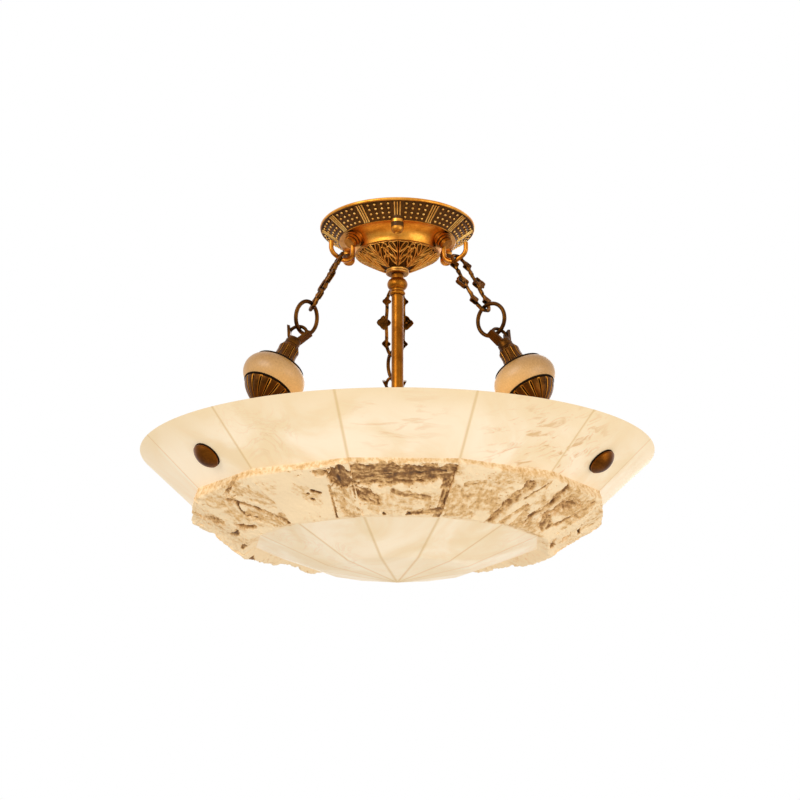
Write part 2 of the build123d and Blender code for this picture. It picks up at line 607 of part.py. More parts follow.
def finial_cone():
    top, foot = -CONE_TOP_AT, -CONE_FOOT_AT
    shoulder = (CONE_SHOULDER_R, top - CONE_SHOULDER_DOWN)
    waist = (CONE_WAIST_R, (top + foot) / 2)
    flare = (CONE_FOOT_R, foot + CONE_FOOT_H)
    edges = [Line((0, top), (CONE_TOP_R, top)), Line((CONE_TOP_R, top), shoulder),
             ThreePointArc(shoulder, waist, flare), Line(flare, (CONE_FOOT_R, foot)),
             Line((CONE_FOOT_R, foot), (0, foot)), Line((0, foot), (0, top))]
    cone = spun_edges(*edges)
    route = [(radius + CONE_FLUTE_OUT, height) for radius, height in (shoulder, waist, flare)]
    path = Plane.XZ * ThreePointArc(*route)
    groove = sweep(Plane(origin=path @ 0, z_dir=path % 0) * Circle(CONE_FLUTE_R), path=path)
    cone = fluted(cone, groove, CONE_FLUTES)
    return one(HANG * (cone - post(STACK_BORE_R, foot - CUT_PAST, top + CUT_PAST)))


def finial_gasket(at):
    return one(HANG * (post(GASKET_R, -at - GASKET_T, -at) - post(STACK_BORE_R, -at - 2 * GASKET_T, 0)))


def alabaster_collar():
    top, foot = -ALABASTER_AT, -ALABASTER_FOOT_AT
    middle = (top + foot) / 2
    edges = [Line((0, top), (ALABASTER_END_R, top)),
             ThreePointArc((ALABASTER_END_R, top), (ALABASTER_R, middle), (ALABASTER_END_R, foot)),
             Line((ALABASTER_END_R, foot), (0, foot)), Line((0, foot), (0, top))]
    return one(HANG * (spun_edges(*edges) - post(STACK_BORE_R, foot - CUT_PAST, top + CUT_PAST)))


def fluted_cup():
    top, foot = -CUP_TOP_AT, -CUP_FOOT_AT
    lip = (CUP_LIP_R, top - CUP_LIP_H)
    belly = (CUP_BELLY_R, top - CUP_BELLY_DOWN)
    neck = (CUP_NECK_R, foot)
    edges = [Line((0, top), (CUP_LIP_R, top)), Line((CUP_LIP_R, top), lip),
             ThreePointArc(lip, belly, neck), Line(neck, (0, foot)), Line((0, foot), (0, top))]
    cup = spun_edges(*edges)
    path = Plane.XZ * ThreePointArc(lip, belly, neck)
    groove = sweep(Plane(origin=path @ 0, z_dir=path % 0) * Circle(CUP_FLUTE_R), path=path)
    cup = fluted(cup, groove, CUP_FLUTES)
    return one(HANG * (cup - post(STACK_BORE_R, foot - CUT_PAST, top + CUT_PAST)))


def cup_nut():
    top = -CUP_FOOT_AT
    return one(HANG * (hex_post(CUP_NUT_R, top - CUP_NUT_H, top) - post(STACK_BORE_R, top - 2 * CUP_NUT_H, 0)))


# ---- Bowl
def outer_profile():
    """Radius and height of the bowl's outer corners, from the rim to the pole."""
    breaks = [(r, RIM_Z - drop) for r, drop in zip(BREAK_RADII, BREAK_DROPS)]
    return [(RIM_R, RIM_Z)] + breaks + [(0.0, RIM_Z - POLE_DROP)]


def inner_profile(wall):
    """The same corners on the inner face, one wall thickness in."""
    points = outer_profile()
    slopes = [atan2(a[1] - b[1], a[0] - b[0]) for a, b in zip(points, points[1:])]
    inner = [(RIM_R - wall / sin(slopes[0]), RIM_Z)]
    for (radius, height), above, below in zip(points[1:-1], slopes, slopes[1:]):
        half_turn = (above - below) / 2
        normal = (above + below) / 2
        step = wall / cos(half_turn)
        inner.append((radius - step * sin(normal), height + step * cos(normal)))
    inner.append((0.0, points[-1][1] + wall / cos(slopes[-1])))
    return inner


OUTER = outer_profile()
INNER = inner_profile(BOWL_WALL)
REACH = 2 * RIM_R


def sector():
    """The wedge of space between two seams."""
    across = REACH * tan(SEAM_HALF)
    shape = make_face(Polyline((0, 0), (REACH, -across), (REACH, across), close=True))
    return Pos(0, 0, RIM_Z - POLE_DROP - BACK_PROUD) * extrude(shape, POLE_DROP + 2 * BACK_PROUD)


def panel(points):
    """A flat-faced piece of the bowl, from its outline at the seams."""
    outline = [(radius * cos(SEAM_HALF), height) for radius, height in points]
    slab = extrude(Plane.XZ * make_face(Polyline(*outline, close=True)), REACH / 2, both=True)
    return one(slab & sector())


def seam_point(radius, height, side):
    """A point on the seam at one side of the panel that stands on +X."""
    return (radius * cos(SEAM_HALF), side * radius * sin(SEAM_HALF), height)


def rim_panel():
    """Round at the rim and straight where it meets the middle block."""
    def arc(radius):
        return ThreePointArc(seam_point(radius, RIM_Z, -1), (radius, 0, RIM_Z), seam_point(radius, RIM_Z, 1))

    def line(radius, height, side_a, side_b):
        return Line(seam_point(radius, height, side_a), seam_point(radius, height, side_b))

    (out_r, _), (in_r, _) = OUTER[0], INNER[0]
    (low_out_r, low_out_z), (low_in_r, low_in_z) = OUTER[1], INNER[1]
    outer_arc, inner_arc = arc(out_r), arc(in_r)
    top = Wire([outer_arc, Line(outer_arc @ 1, inner_arc @ 1), inner_arc, Line(inner_arc @ 0, outer_arc @ 0)])
    low_outer = line(low_out_r, low_out_z, -1, 1)
    low_inner = line(low_in_r, low_in_z, -1, 1)
    low = Wire([low_outer, Line(low_outer @ 1, low_inner @ 1), low_inner,
                Line(low_inner @ 0, low_outer @ 0)])
    return Solid.make_loft([top, low], ruled=True)


def block_proud(azimuth):
    """How far a raw block stands out: least at the front, most at the back."""
    share = (1 - cos(radians(azimuth - FRONT))) / 2
    return FRONT_PROUD + (BACK_PROUD - FRONT_PROUD) * share


def middle_block(proud):
    (top_r, top_z), (foot_r, foot_z) = OUTER[1], OUTER[2]
    run_r, run_z = foot_r - top_r, foot_z - top_z
    length = hypot(run_r, run_z)
    out_r, out_z = -run_z / length * proud, run_r / length * proud
    upper = (top_r + PROUD_SHARE * run_r + out_r, top_z + PROUD_SHARE * run_z + out_z)
    lower = (foot_r - PROUD_SHARE * run_r + out_r, foot_z - PROUD_SHARE * run_z + out_z)
    return panel([OUTER[1], upper, lower, OUTER[2], INNER[2], INNER[1]])


PANEL_AZIMUTHS = [FRONT + SEAM_STEP * number for number in range(BOWL_PANELS)]


def wall_frames():
    """One frame for each fixing: its Z leaves the bowl, square to the wall."""
    frames = []
    for azimuth, off_middle in zip(FIXING_AZIMUTHS, FIXING_OFF_MIDDLE):
        face_foot_r = BREAK_RADII[0] * cos(SEAM_HALF) / cos(radians(off_middle))
        slope = atan2(BREAK_DROPS[0], RIM_R - face_foot_r)
        height = RIM_Z - (RIM_R - FIXING_R) * tan(slope)
        face = Plane(origin=(FIXING_R, 0, height), x_dir=(0, 1, 0), z_dir=(sin(slope), 0, -cos(slope)))
        frames.append(Rot(0, 0, azimuth) * face.location)
    return frames


WALL_FRAMES = wall_frames()


def rim_panels():
    bare = rim_panel()
    panels = []
    for azimuth in PANEL_AZIMUTHS:
        piece = Rot(0, 0, azimuth) * bare
        for frame in WALL_FRAMES:
            piece = piece - frame * post(ROD_HOLE_R, -2 * BOWL_WALL, BOWL_WALL)
            piece = piece - frame * post(PAD_R + RUNNING_GAP, -2 * BOWL_WALL, -BOWL_WALL)
            piece = piece - frame * post(OUTER_WASHER_R + RUNNING_GAP, 0, BOWL_WALL)
        panels.append(one(piece))
    return panels


def middle_blocks():
    return [Rot(0, 0, azimuth) * middle_block(block_proud(azimuth)) for azimuth in PANEL_AZIMUTHS]


# ---- Bowl fixings
def hanger_rods():
    """Each rod runs straight through the finial, then bends to leave square to the wall."""
    rods = []
    for azimuth, frame in zip(HOOK_AZIMUTHS, WALL_FRAMES):
        turned = Rot(0, 0, azimuth) * HANG.location
        top_at = CONE_TOP_AT - RUNNING_GAP - ROD_TOP_IN_COLLAR
        low_at = CUP_FOOT_AT + CUP_NUT_H + ROD_BELOW_CUP
        route = [(turned * Pos(0, 0, -top_at)).position, (turned * Pos(0, 0, -low_at)).position,
                 (frame * Pos(0, 0, -BOWL_WALL - ROD_STRAIGHT)).position,
                 (frame * Pos(0, 0, OUTER_WASHER_T + ROD_IN_DOME)).position]
        path = FilletPolyline(*route, radius=ROD_BEND_R)
        start = Plane(origin=path @ 0, z_dir=path % 0)
        rods.append(one(sweep(start * Circle(ROD_R), path=path)))
    return rods


def wall_pad():
    low = -BOWL_WALL - PAD_T
    return post(PAD_R, low, -BOWL_WALL) - post(STACK_BORE_R, low - CUT_PAST, 0)


def wall_nut():
    top = -BOWL_WALL - PAD_T
    return hex_post(INNER_NUT_R, top - INNER_NUT_H, top) - post(STACK_BORE_R, top - 2 * INNER_NUT_H, 0)


def outer_washer():
    return post(OUTER_WASHER_R, 0, OUTER_WASHER_T) - post(STACK_BORE_R, -CUT_PAST, 2 * OUTER_WASHER_T)


def bowl_cap_nut():
    low = OUTER_WASHER_T + RUNNING_GAP
    rise = DOME_H - DOME_BASE_H
    ball_r = (DOME_R ** 2 + rise ** 2) / (2 * rise)
    half_turn = asin(DOME_R / ball_r) / 2
    middle = (ball_r * sin(half_turn), low + DOME_H - ball_r * (1 - cos(half_turn)))
    edges = [Line((0, low), (DOME_R, low)), Line((DOME_R, low), (DOME_R, low + DOME_BASE_H)),
             ThreePointArc((DOME_R, low + DOME_BASE_H), middle, (0, low + DOME_H)),
             Line((0, low + DOME_H), (0, low))]
    nut = spun_edges(*edges)
    return one(nut - post(STACK_BORE_R, low - CUT_PAST, OUTER_WASHER_T + ROD_IN_DOME + RUNNING_GAP))


def at_walls(shape):
    return [one(frame * shape) for frame in WALL_FRAMES]


# ---- Lamp cluster
def along_x(shape):
    """Lay a shape built about Z along +X, at the height of the lamps."""
    return Pos(0, 0, LAMP_Z) * Rot(0, 90, 0) * shape


def lamp_hub():
    hub = fillet(post(HUB_R, HUB_FOOT_Z, HUB_TOP_Z).edges(), HUB_EDGE_R)
    hub -= post(STEM_R + SLIDE_GAP, STEM_FOOT_Z, HUB_TOP_Z + CUT_PAST)
    hub -= post(HUB_SCREW_R + SLIDE_GAP, HUB_FOOT_Z - CUT_PAST, HUB_FOOT_Z + HUB_SCREW_UP + RUNNING_GAP)
    hub -= post(HUB_POCKET_R, LAMP_Z - ARM_R / 2, STEM_FOOT_Z + CUT_PAST)
    bore = along_x(post(ARM_R + SLIDE_GAP, HUB_R - ARM_IN_HUB, 2 * HUB_R))
    for cut in around(bore, LAMP_AZIMUTHS):
        hub -= cut
    return one(hub)


def hub_cap():
    top = HUB_FOOT_Z
    cap = spun((0, top), (HUB_CAP_R, top), (HUB_CAP_R, top - HUB_CAP_EDGE_H),
               (HUB_CAP_WAIST_R, top - HUB_CAP_WAIST_H), (HUB_CAP_TIP_R, top - HUB_CAP_H),
               (0, top - HUB_CAP_H))
    return one(cap + post(HUB_SCREW_R, top, top + HUB_SCREW_UP))


def lamp_arm():
    start, end = HUB_R - ARM_IN_HUB, ARM_END + ARM_IN_HOLDER
    return one(along_x(post(ARM_R, start, end) - post(ARM_BORE_R, start - CUT_PAST, end + CUT_PAST)))


def lampholder():
    mouth = ARM_END + HOLDER_H
    body = post(HOLDER_R, ARM_END, mouth)
    body += post(HOLDER_R + HOLDER_LIP, mouth - HOLDER_LIP_H, mouth)
    body -= post(HOLDER_BORE_R, ARM_END + HOLDER_FLOOR, mouth + CUT_PAST)
    body -= post(ARM_R + SLIDE_GAP, ARM_END - CUT_PAST, ARM_END + ARM_IN_HOLDER)
    return one(along_x(body))


def bulb():
    mouth = ARM_END + HOLDER_H
    centre = mouth + BULB_REACH - BULB_R
    neck_end = centre - (BULB_R ** 2 - BULB_NECK_R ** 2) ** 0.5
    glass = Pos(0, 0, centre) * Sphere(BULB_R)
    cap_end = mouth + BULB_CAP_OUT
    glass += post(BULB_CAP_R, mouth + RUNNING_GAP - BULB_CAP_H, cap_end)
    glass += Pos(0, 0, cap_end) * Cone(BULB_CAP_R, BULB_NECK_END_R, neck_end - mouth,
                                       align=(Align.CENTER, Align.CENTER, Align.MIN))
    return one(along_x(glass))


# ---- Write every piece
os.makedirs("parts", exist_ok=True)

save("ceiling_bracket", ceiling_bracket())
save("bracket_studs", *around(bracket_stud(), CAP_NUT_AZIMUTHS))
save("canopy_dish", canopy_dish())
numbered("canopy_cap_nut", around(canopy_cap_nut(), CAP_NUT_AZIMUTHS))
save("acanthus_boss", acanthus_boss())
save("ball_collar", ball_collar())
save("stem_tube", stem_tube())
save("stem_nipple", stem_nipple())
save("stem_lock_nut", stem_lock_nut())
save("terminal_block", terminal_block())
save("earth_screw", earth_screw())
save("lead_wires", *lead_wires())

numbered("chain_hook", around(chain_hook(), HOOK_AZIMUTHS))
save("hook_nuts", *around(hook_nut(), HOOK_AZIMUTHS))
numbered("chain_link", each_station(chain_link(), LINK_MID_AT, LINK_TURNS))
numbered("chain_ring", each_station(Rot(90, 0, 0) * Torus(RING_R, RING_BAR_R), RING_AT, RING_TURNS))
numbered("shackle", each_station(shackle(), RING_AT, SHACKLE_TURNS))
numbered("finial_cone", around(finial_cone(), HOOK_AZIMUTHS))
gaskets = around(finial_gasket(CONE_FOOT_AT), HOOK_AZIMUTHS)
gaskets += around(finial_gasket(ALABASTER_FOOT_AT), HOOK_AZIMUTHS)
save("finial_gaskets", *gaskets)
numbered("alabaster_collar", around(alabaster_collar(), HOOK_AZIMUTHS))
numbered("fluted_cup", around(fluted_cup(), HOOK_AZIMUTHS))
save("cup_nuts", *around(cup_nut(), HOOK_AZIMUTHS))

save("rim_panels", *rim_panels())
save("middle_blocks", *middle_blocks())
save("bottom_petals", *around(panel([OUTER[2], OUTER[3], INNER[3], INNER[2]]), PANEL_AZIMUTHS))
save("centre_petals", *around(panel([OUTER[3], OUTER[4], INNER[4], INNER[3]]), PANEL_AZIMUTHS))
numbered("hanger_rod", hanger_rods())
save("wall_pads", *at_walls(wall_pad()))
save("wall_lock_nuts", *at_walls(wall_nut()))
save("outer_washers", *at_walls(outer_washer()))
numbered("bowl_cap_nut", at_walls(bowl_cap_nut()))

save("lamp_hub", lamp_hub())
save("hub_cap", hub_cap())
save("lamp_arms", *around(lamp_arm(), LAMP_AZIMUTHS))
numbered("lampholder", around(lampholder(), LAMP_AZIMUTHS))
numbered("bulb", around(bulb(), LAMP_AZIMUTHS))
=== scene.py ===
import logging
import math
from collections.abc import Callable, Iterator
from contextlib import contextmanager
from dataclasses import dataclass
from enum import Enum
from functools import cached_property

import bpy
from mathutils import Matrix, Vector, noise

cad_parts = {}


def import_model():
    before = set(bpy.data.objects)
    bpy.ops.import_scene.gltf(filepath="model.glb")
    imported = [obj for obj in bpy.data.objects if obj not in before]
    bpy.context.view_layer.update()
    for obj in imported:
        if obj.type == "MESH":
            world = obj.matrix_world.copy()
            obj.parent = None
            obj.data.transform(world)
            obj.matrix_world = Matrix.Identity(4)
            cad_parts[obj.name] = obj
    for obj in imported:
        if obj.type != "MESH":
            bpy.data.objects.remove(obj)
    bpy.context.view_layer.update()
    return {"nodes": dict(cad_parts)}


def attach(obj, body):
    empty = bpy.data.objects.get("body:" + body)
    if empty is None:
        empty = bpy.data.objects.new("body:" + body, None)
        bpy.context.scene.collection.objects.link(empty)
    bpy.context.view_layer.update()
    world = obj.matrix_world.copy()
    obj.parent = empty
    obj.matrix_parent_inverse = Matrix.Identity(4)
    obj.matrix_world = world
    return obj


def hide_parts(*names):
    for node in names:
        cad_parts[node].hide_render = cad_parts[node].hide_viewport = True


LOG = logging.getLogger("pendant")
MM = 0.001

PANELS = 13
SEAM_STEP = 360.0 / PANELS
SEAM_HALF = math.radians(SEAM_STEP / 2)
FRONT = -90.0
HANG_LEAN = math.radians(27.2)
EYE = Vector((63.3, 0.0, -40.5))
STONE_IOR = 1.52

Point2 = tuple[float, float]
Numbers = tuple[float, ...]
Placer = Callable[[float, float], tuple[Vector, float]]
Object = bpy.types.Object
Socket = bpy.types.NodeSocket


# ---------------------------------------------------------------- small tools
def linear(hex_colour: str) -> Numbers:
    """Turn six hex digits of sRGB into Blender's linear red, green, blue and an alpha of 1."""
    parts = [int(hex_colour[i:i + 2], 16) / 255 for i in (0, 2, 4)]
    return tuple(c / 12.92 if c <= 0.04045 else ((c + 0.055) / 1.055) ** 2.4 for c in parts) + (1.0,)


def add_node(tree: bpy.types.NodeTree, kind: str, settings: dict | None = None,
             inputs: dict | None = None) -> bpy.types.Node:
    """Add one node, with its settings and what feeds it.

    Args:
        tree: the node tree.
        kind: the node's type, without "ShaderNode".
        settings: attributes of the node.
        inputs: socket name or number, to a value or to another node's output.

    Returns:
        The new node.
    """
    node = tree.nodes.new("ShaderNode" + kind)
    for key, value in (settings or {}).items():
        setattr(node, key, value)
    for key, value in (inputs or {}).items():
        set_socket(tree, node.inputs[key], value)
    return node


def set_socket(tree: bpy.types.NodeTree, socket: Socket, value: object) -> None:
    """Link a socket to another node's output, or set its value."""
    if isinstance(value, bpy.types.NodeSocket):
        tree.links.new(value, socket)
    else:
        socket.default_value = value


def smooth(low: float, high: float, x: float) -> float:
    """A soft step from 0 at low to 1 at high."""
    t = min(max((x - low) / (high - low), 0.0), 1.0)
    return t * t * (3 - 2 * t)


def ridge(off: float, width: float) -> float:
    """A ridge of height 1, which falls away with the distance off its middle."""
    return math.exp(-(off / width) ** 2)


def between(a: Numbers, b: Numbers, share: float) -> Numbers:
    """The place at a share of the way from one corner to another."""
    return tuple(p + (q - p) * share for p, q in zip(a, b))


def polyline(points: list[Numbers], t: float) -> Numbers:
    """The place at the share t of a polyline, with each run counted as equal."""
    place = min(max(t, 0.0), 1.0) * (len(points) - 1)
    run = min(int(place), len(points) - 2)
    return between(points[run], points[run + 1], place - run)


def rounded(points: list[Numbers], rounds: int) -> list[Numbers]:
    """Cut the corners of a polyline a number of times, which rounds it."""
    for _ in range(rounds):
        cut = [points[0]]
        for a, b in zip(points, points[1:]):
            cut += [tuple(0.75 * p + 0.25 * q for p, q in zip(a, b)),
                    tuple(0.25 * p + 0.75 * q for p, q in zip(a, b))]
        points = cut + [points[-1]]
    return points


def turned_by(degrees: float) -> Matrix:
    """A turn about the vertical axis."""
    return Matrix.Rotation(math.radians(degrees), 4, "Z")


# ---------------------------------------------------------------- modelling by operators
class Bench:
    """The modelling operators used for every new piece."""

    @staticmethod
    def clear() -> None:
        """Leave edit mode and deselect everything."""
        if bpy.context.object and bpy.context.object.mode != "OBJECT":
            bpy.ops.object.mode_set(mode="OBJECT")
        bpy.ops.object.select_all(action="DESELECT")

    @staticmethod
    def pick(*objects: Object) -> None:
        """Select these objects only; the first is active."""
        Bench.clear()
        for item in objects:
            item.select_set(True)
        bpy.context.view_layer.objects.active = objects[0]

    @staticmethod
    @contextmanager
    def editing(item: Object) -> Iterator[None]:
        """Edit mode, with all of one piece selected."""
        Bench.pick(item)
        bpy.ops.object.mode_set(mode="EDIT")
        bpy.ops.mesh.select_all(action="SELECT")
        yield
        bpy.ops.object.mode_set(mode="OBJECT")

    @staticmethod
    def clean(item: Object, merge: float = 0.02) -> None:
        """Merge points nearer than a few hundredths of a millimetre and turn the faces outwards."""
        with Bench.editing(item):
            bpy.ops.mesh.remove_doubles(threshold=merge * MM)
            bpy.ops.mesh.normals_make_consistent(inside=False)

    @staticmethod
    def cap(item: Object) -> None:
        """Close the open ends of a piece with flat faces."""
        with Bench.editing(item):
            bpy.ops.mesh.select_mode(type="EDGE")
            bpy.ops.mesh.select_all(action="DESELECT")
            bpy.ops.mesh.select_non_manifold()
            bpy.ops.mesh.fill_holes(sides=0)
            bpy.ops.mesh.select_all(action="SELECT")
            bpy.ops.mesh.normals_make_consistent(inside=False)
            bpy.ops.mesh.select_mode(type="VERT")

    @staticmethod
    def formed(name: str, columns: int, rows: int, place: Placer) -> Object:
        """A sheet of quads bent to a shape, with a value kept at each point for the finish.

        Args:
            name: the piece's name.
            columns: quads along u.
            rows: quads along v.
            place: gives the point, in millimetres, and how hollow it is, at (u, v) from 0 to 1.

        Returns:
            The new piece.
        """
        Bench.clear()
        bpy.ops.mesh.primitive_grid_add(x_subdivisions=columns, y_subdivisions=rows, size=1.0)
        item = bpy.context.object
        item.name = name
        hollows = []
        for vertex in item.data.vertices:
            point, hollow = place(vertex.co.x + 0.5, vertex.co.y + 0.5)
            vertex.co = point * MM
            hollows.append(hollow)
        item.data.attributes.new("hollow", "FLOAT", "POINT").data.foreach_set("value", hollows)
        return item

    @staticmethod
    def moved(item: Object, matrix: Matrix) -> Object:
        """Place a piece's mesh by a matrix in millimetres, with the object left at the origin."""
        in_metres = matrix.copy()
        in_metres.translation = matrix.translation * MM
        item.data.transform(in_metres)
        return item

    @staticmethod
    def copied(item: Object, name: str, matrix: Matrix) -> Object:
        """A copy with its own mesh, placed in its mesh by a matrix in millimetres."""
        twin = item.copy()
        twin.data = item.data.copy()
        twin.name = name
        bpy.context.collection.objects.link(twin)
        return Bench.moved(twin, matrix)

    @staticmethod
    def joined(name: str, pieces: list[Object]) -> Object:
        """Join several meshes into one piece."""
        Bench.pick(*pieces)
        bpy.ops.object.join()
        whole = bpy.context.object
        whole.name = name
        return whole

    @staticmethod
    def tube(name: str, points: list[Vector], radius: float, sides: int) -> Object:
        """A round bar along a route in millimetres, closed at both ends."""
        last = len(points) - 1

        def place(u: float, v: float) -> tuple[Vector, float]:
            index = int(round(v * last))
            along = (points[min(index + 1, last)] - points[max(index - 1, 0)]).normalized()
            # the slight slant keeps the side from ever lying along the route
            side = along.cross(Vector((1.0, 0.013, 0.007))).normalized()
            up = along.cross(side).normalized()
            angle = 2 * math.pi * u
            return points[index] + (side * math.cos(angle) + up * math.sin(angle)) * radius, 0.0

        bar = Bench.formed(name, sides, last, place)
        Bench.clean(bar)
        Bench.cap(bar)
        return bar

    @staticmethod
    def turned(name: str, loop: list[Numbers], columns: int,
               shape: Callable[[Numbers, float, float], tuple[float, float, float]]) -> Object:
        """A closed outline turned about Z.

        Args:
            name: the piece's name.
            loop: the outline's corners; it closes on itself, clear of the axis.
            columns: quads round the axis.
            shape: gives radius, height and how hollow it is, from the outline's numbers, the
                place counted in corners, and the angle.

        Returns:
            The turned piece.
        """
        ring = loop + [loop[0]]

        def place(u: float, v: float) -> tuple[Vector, float]:
            angle = 2 * math.pi * u
            radius, height, hollow = shape(polyline(ring, v), v * len(loop), angle)
            return Vector((radius * math.cos(angle), radius * math.sin(angle), height)), hollow

        item = Bench.formed(name, columns, len(loop), place)
        Bench.clean(item)
        return item

    @staticmethod
    def soft(item: Object, degrees: float) -> None:
        """Shade a piece smooth, with the edges sharper than this kept."""
        Bench.pick(item)
        bpy.ops.object.shade_smooth_by_angle(angle=math.radians(degrees))


# ---------------------------------------------------------------- finishes
class Graph:
    """A material's nodes, with short ways to add what the finishes share."""

    def __init__(self, name: str) -> None:
        """Start a material with its one shader."""
        self.material = bpy.data.materials.new(name)
        self.material.use_nodes = True
        self.tree = self.material.node_tree

    @cached_property
    def place(self) -> Socket:
        """The point on the object."""
        return add_node(self.tree, "TexCoord").outputs["Object"]

    @cached_property
    def parts(self) -> tuple[Socket, ...]:
        """The point's x, y and z."""
        return tuple(add_node(self.tree, "SeparateXYZ", None, {0: self.place}).outputs)

    def calc(self, operation: str, *values: object) -> Socket:
        """The result of one sum."""
        return add_node(self.tree, "Math", {"operation": operation}, dict(enumerate(values))).outputs[0]

    def noise(self, size: float, detail: float, **more: object) -> Socket:
        """Noise from 0 to 1, with features about this many millimetres wide."""
        inputs = {"Vector": self.place, "Scale": 1.0 / (size * MM), "Detail": detail, **more}
        return add_node(self.tree, "TexNoise", None, inputs).outputs["Fac"]

    def span(self, value: Socket, start: float, end: float, low: float = 0.0, high: float = 1.0,
             soft: bool = False) -> Socket:
        """Carry a value from one range to another.

        Args:
            value: what is carried.
            start: the value that gives low.
            end: the value that gives high.
            low: the first result.
            high: the last result.
            soft: whether it eases in and out.

        Returns:
            The result, held at both ends.
        """
        kind = "SMOOTHSTEP" if soft else "LINEAR"
        inputs = {"Value": value, "From Min": start, "From Max": end, "To Min": low, "To Max": high}
        return add_node(self.tree, "MapRange", {"interpolation_type": kind}, inputs).outputs[0]

    def mix(self, share: Socket, first: str | Socket, second: str | Socket) -> Socket:
        """Blend two colours, each of them hex digits or a node's output."""
        pair = [linear(colour) if isinstance(colour, str) else colour for colour in (first, second)]
        inputs = {0: share, 6: pair[0], 7: pair[1]}
        return add_node(self.tree, "Mix", {"data_type": "RGBA"}, inputs).outputs[2]

    def hollow(self) -> Socket:
        """How hollow the modelled surface is."""
        return add_node(self.tree, "Attribute", {"attribute_name": "hollow"}).outputs["Fac"]

    def open_sky(self, reach: float) -> Socket:
        """How open the surface is to what lies within a reach in millimetres."""
        return add_node(self.tree, "AmbientOcclusion", {"samples": 8}, {"Distance": reach * MM}).outputs["AO"]

    def axis_distance(self) -> Socket:
        """The distance from the vertical axis, in metres."""
        flat = add_node(self.tree, "CombineXYZ", None, {0: self.parts[0], 1: self.parts[1]}).outputs[0]
        return add_node(self.tree, "VectorMath", {"operation": "LENGTH"}, {0: flat}).outputs[1]

    def near(self, spot: Numbers, outer: float, inner: float, most: float) -> Socket:
        """How near a spot is, from 0 beyond the outer distance to most within the inner one."""
        inputs = {0: self.place, 1: spot}
        away = add_node(self.tree, "VectorMath", {"operation": "DISTANCE"}, inputs).outputs["Value"]
        return self.span(away, outer, inner, 0.0, most, soft=True)

    def bump(self, height: Socket, depth: float, strength: float) -> Socket:
        """A fine unevenness of this many millimetres."""
        inputs = {"Height": height, "Distance": depth * MM, "Strength": strength}
        return add_node(self.tree, "Bump", None, inputs).outputs[0]

    def feed(self, **values: object) -> None:
        """Set the shader's sockets, each named with "_" in place of its spaces."""
        shader = self.tree.nodes["Principled BSDF"]
        for key, value in values.items():
            set_socket(self.tree, shader.inputs[key.replace("_", " ")], value)

    def stone(self, colour: Socket, glow: float, roughness: float) -> None:
        """Feed the shader as stone, with a painted glow that stands in for light coming through it."""
        self.feed(Base_Color=colour, Emission_Color=colour, Emission_Strength=glow, Roughness=roughness,
                  IOR=STONE_IOR)


@dataclass(frozen=True)
class Finish:
    """What every finish has: the real material's name, and its own way to paint."""

    name: str

    def build(self) -> bpy.types.Material:
        """Make the material."""
        graph = Graph(self.name)
        self.paint(graph)
        return graph.material

    def paint(self, graph: Graph) -> None:
        """Set up the shader."""
        raise NotImplementedError


@dataclass(frozen=True)
class AgedBrass(Finish):
    """Cast brass, gilt or bronzed, with dark wax and painted shade in its hollows, and bright spots that are
    partly rubbed wear and partly painted highlight.
    """

    high: str = "D8923A"
    body: str = "9A5A16"
    dark: str = "2A1503"
    roughness: float = 0.34
    hollow_reach: float = 4.0
    from_attribute: bool = False
    dark_amount: float = 0.9
    edge_highlight: str = ""
    patch_size: float = 12.0
    mottle_size: float = 1.6
    mottle_share: float = 0.35
    mottle_depth: float = 0.12
    wear_and_highlight: Point2 = (0.48, 0.86)
    shut_in: Point2 = (0.86, 0.42)
    waxed: Point2 = (0.15, 0.75)
    dulled: Point2 = (0.4, 0.9)

    def paint(self, graph: Graph) -> None:
        """Colour by the wear and painted highlight, the hollows' wax and painted shade, and a fine mottle."""
        graph.feed(Base_Color=self.metal(graph), Metallic=1.0)

    def metal(self, graph: Graph) -> Socket:
        """Set the gloss and the mottle, and give the colour."""
        # Dull patches where the lacquer is gone, about as wide as a fingertip; the bright, glossy ones are
        # partly rubbed wear and partly painted highlight.
        patches = graph.noise(self.patch_size, 4.0, Roughness=0.6)
        mottle = graph.noise(self.mottle_size, 2.0)
        wear = graph.calc("MULTIPLY_ADD", mottle, self.mottle_share, patches)
        metal = graph.mix(graph.span(wear, *self.wear_and_highlight), self.body, self.high)
        if self.from_attribute:
            source = graph.hollow()
            hollow = graph.span(source, *self.waxed)
            if self.edge_highlight:
                # Painted highlight: the edges that run beside each groove are made bright.
                sides = (graph.span(source, 0.01, 0.12, soft=True), graph.span(source, 0.4, 0.2, soft=True))
                metal = graph.mix(graph.calc("MULTIPLY", *sides), metal, self.edge_highlight)
        else:
            # Dark wax and painted shade: darker where the surface is shut in, in nooks and under raised
            # parts.
            hollow = graph.span(graph.open_sky(self.hollow_reach), *self.shut_in)
        gloss = graph.span(wear, *self.dulled, self.roughness + 0.12, self.roughness - 0.06)
        graph.feed(Roughness=gloss, Normal=graph.bump(mottle, self.mottle_depth, 0.5))
        return graph.mix(graph.calc("MULTIPLY", hollow, self.dark_amount), metal, self.dark)


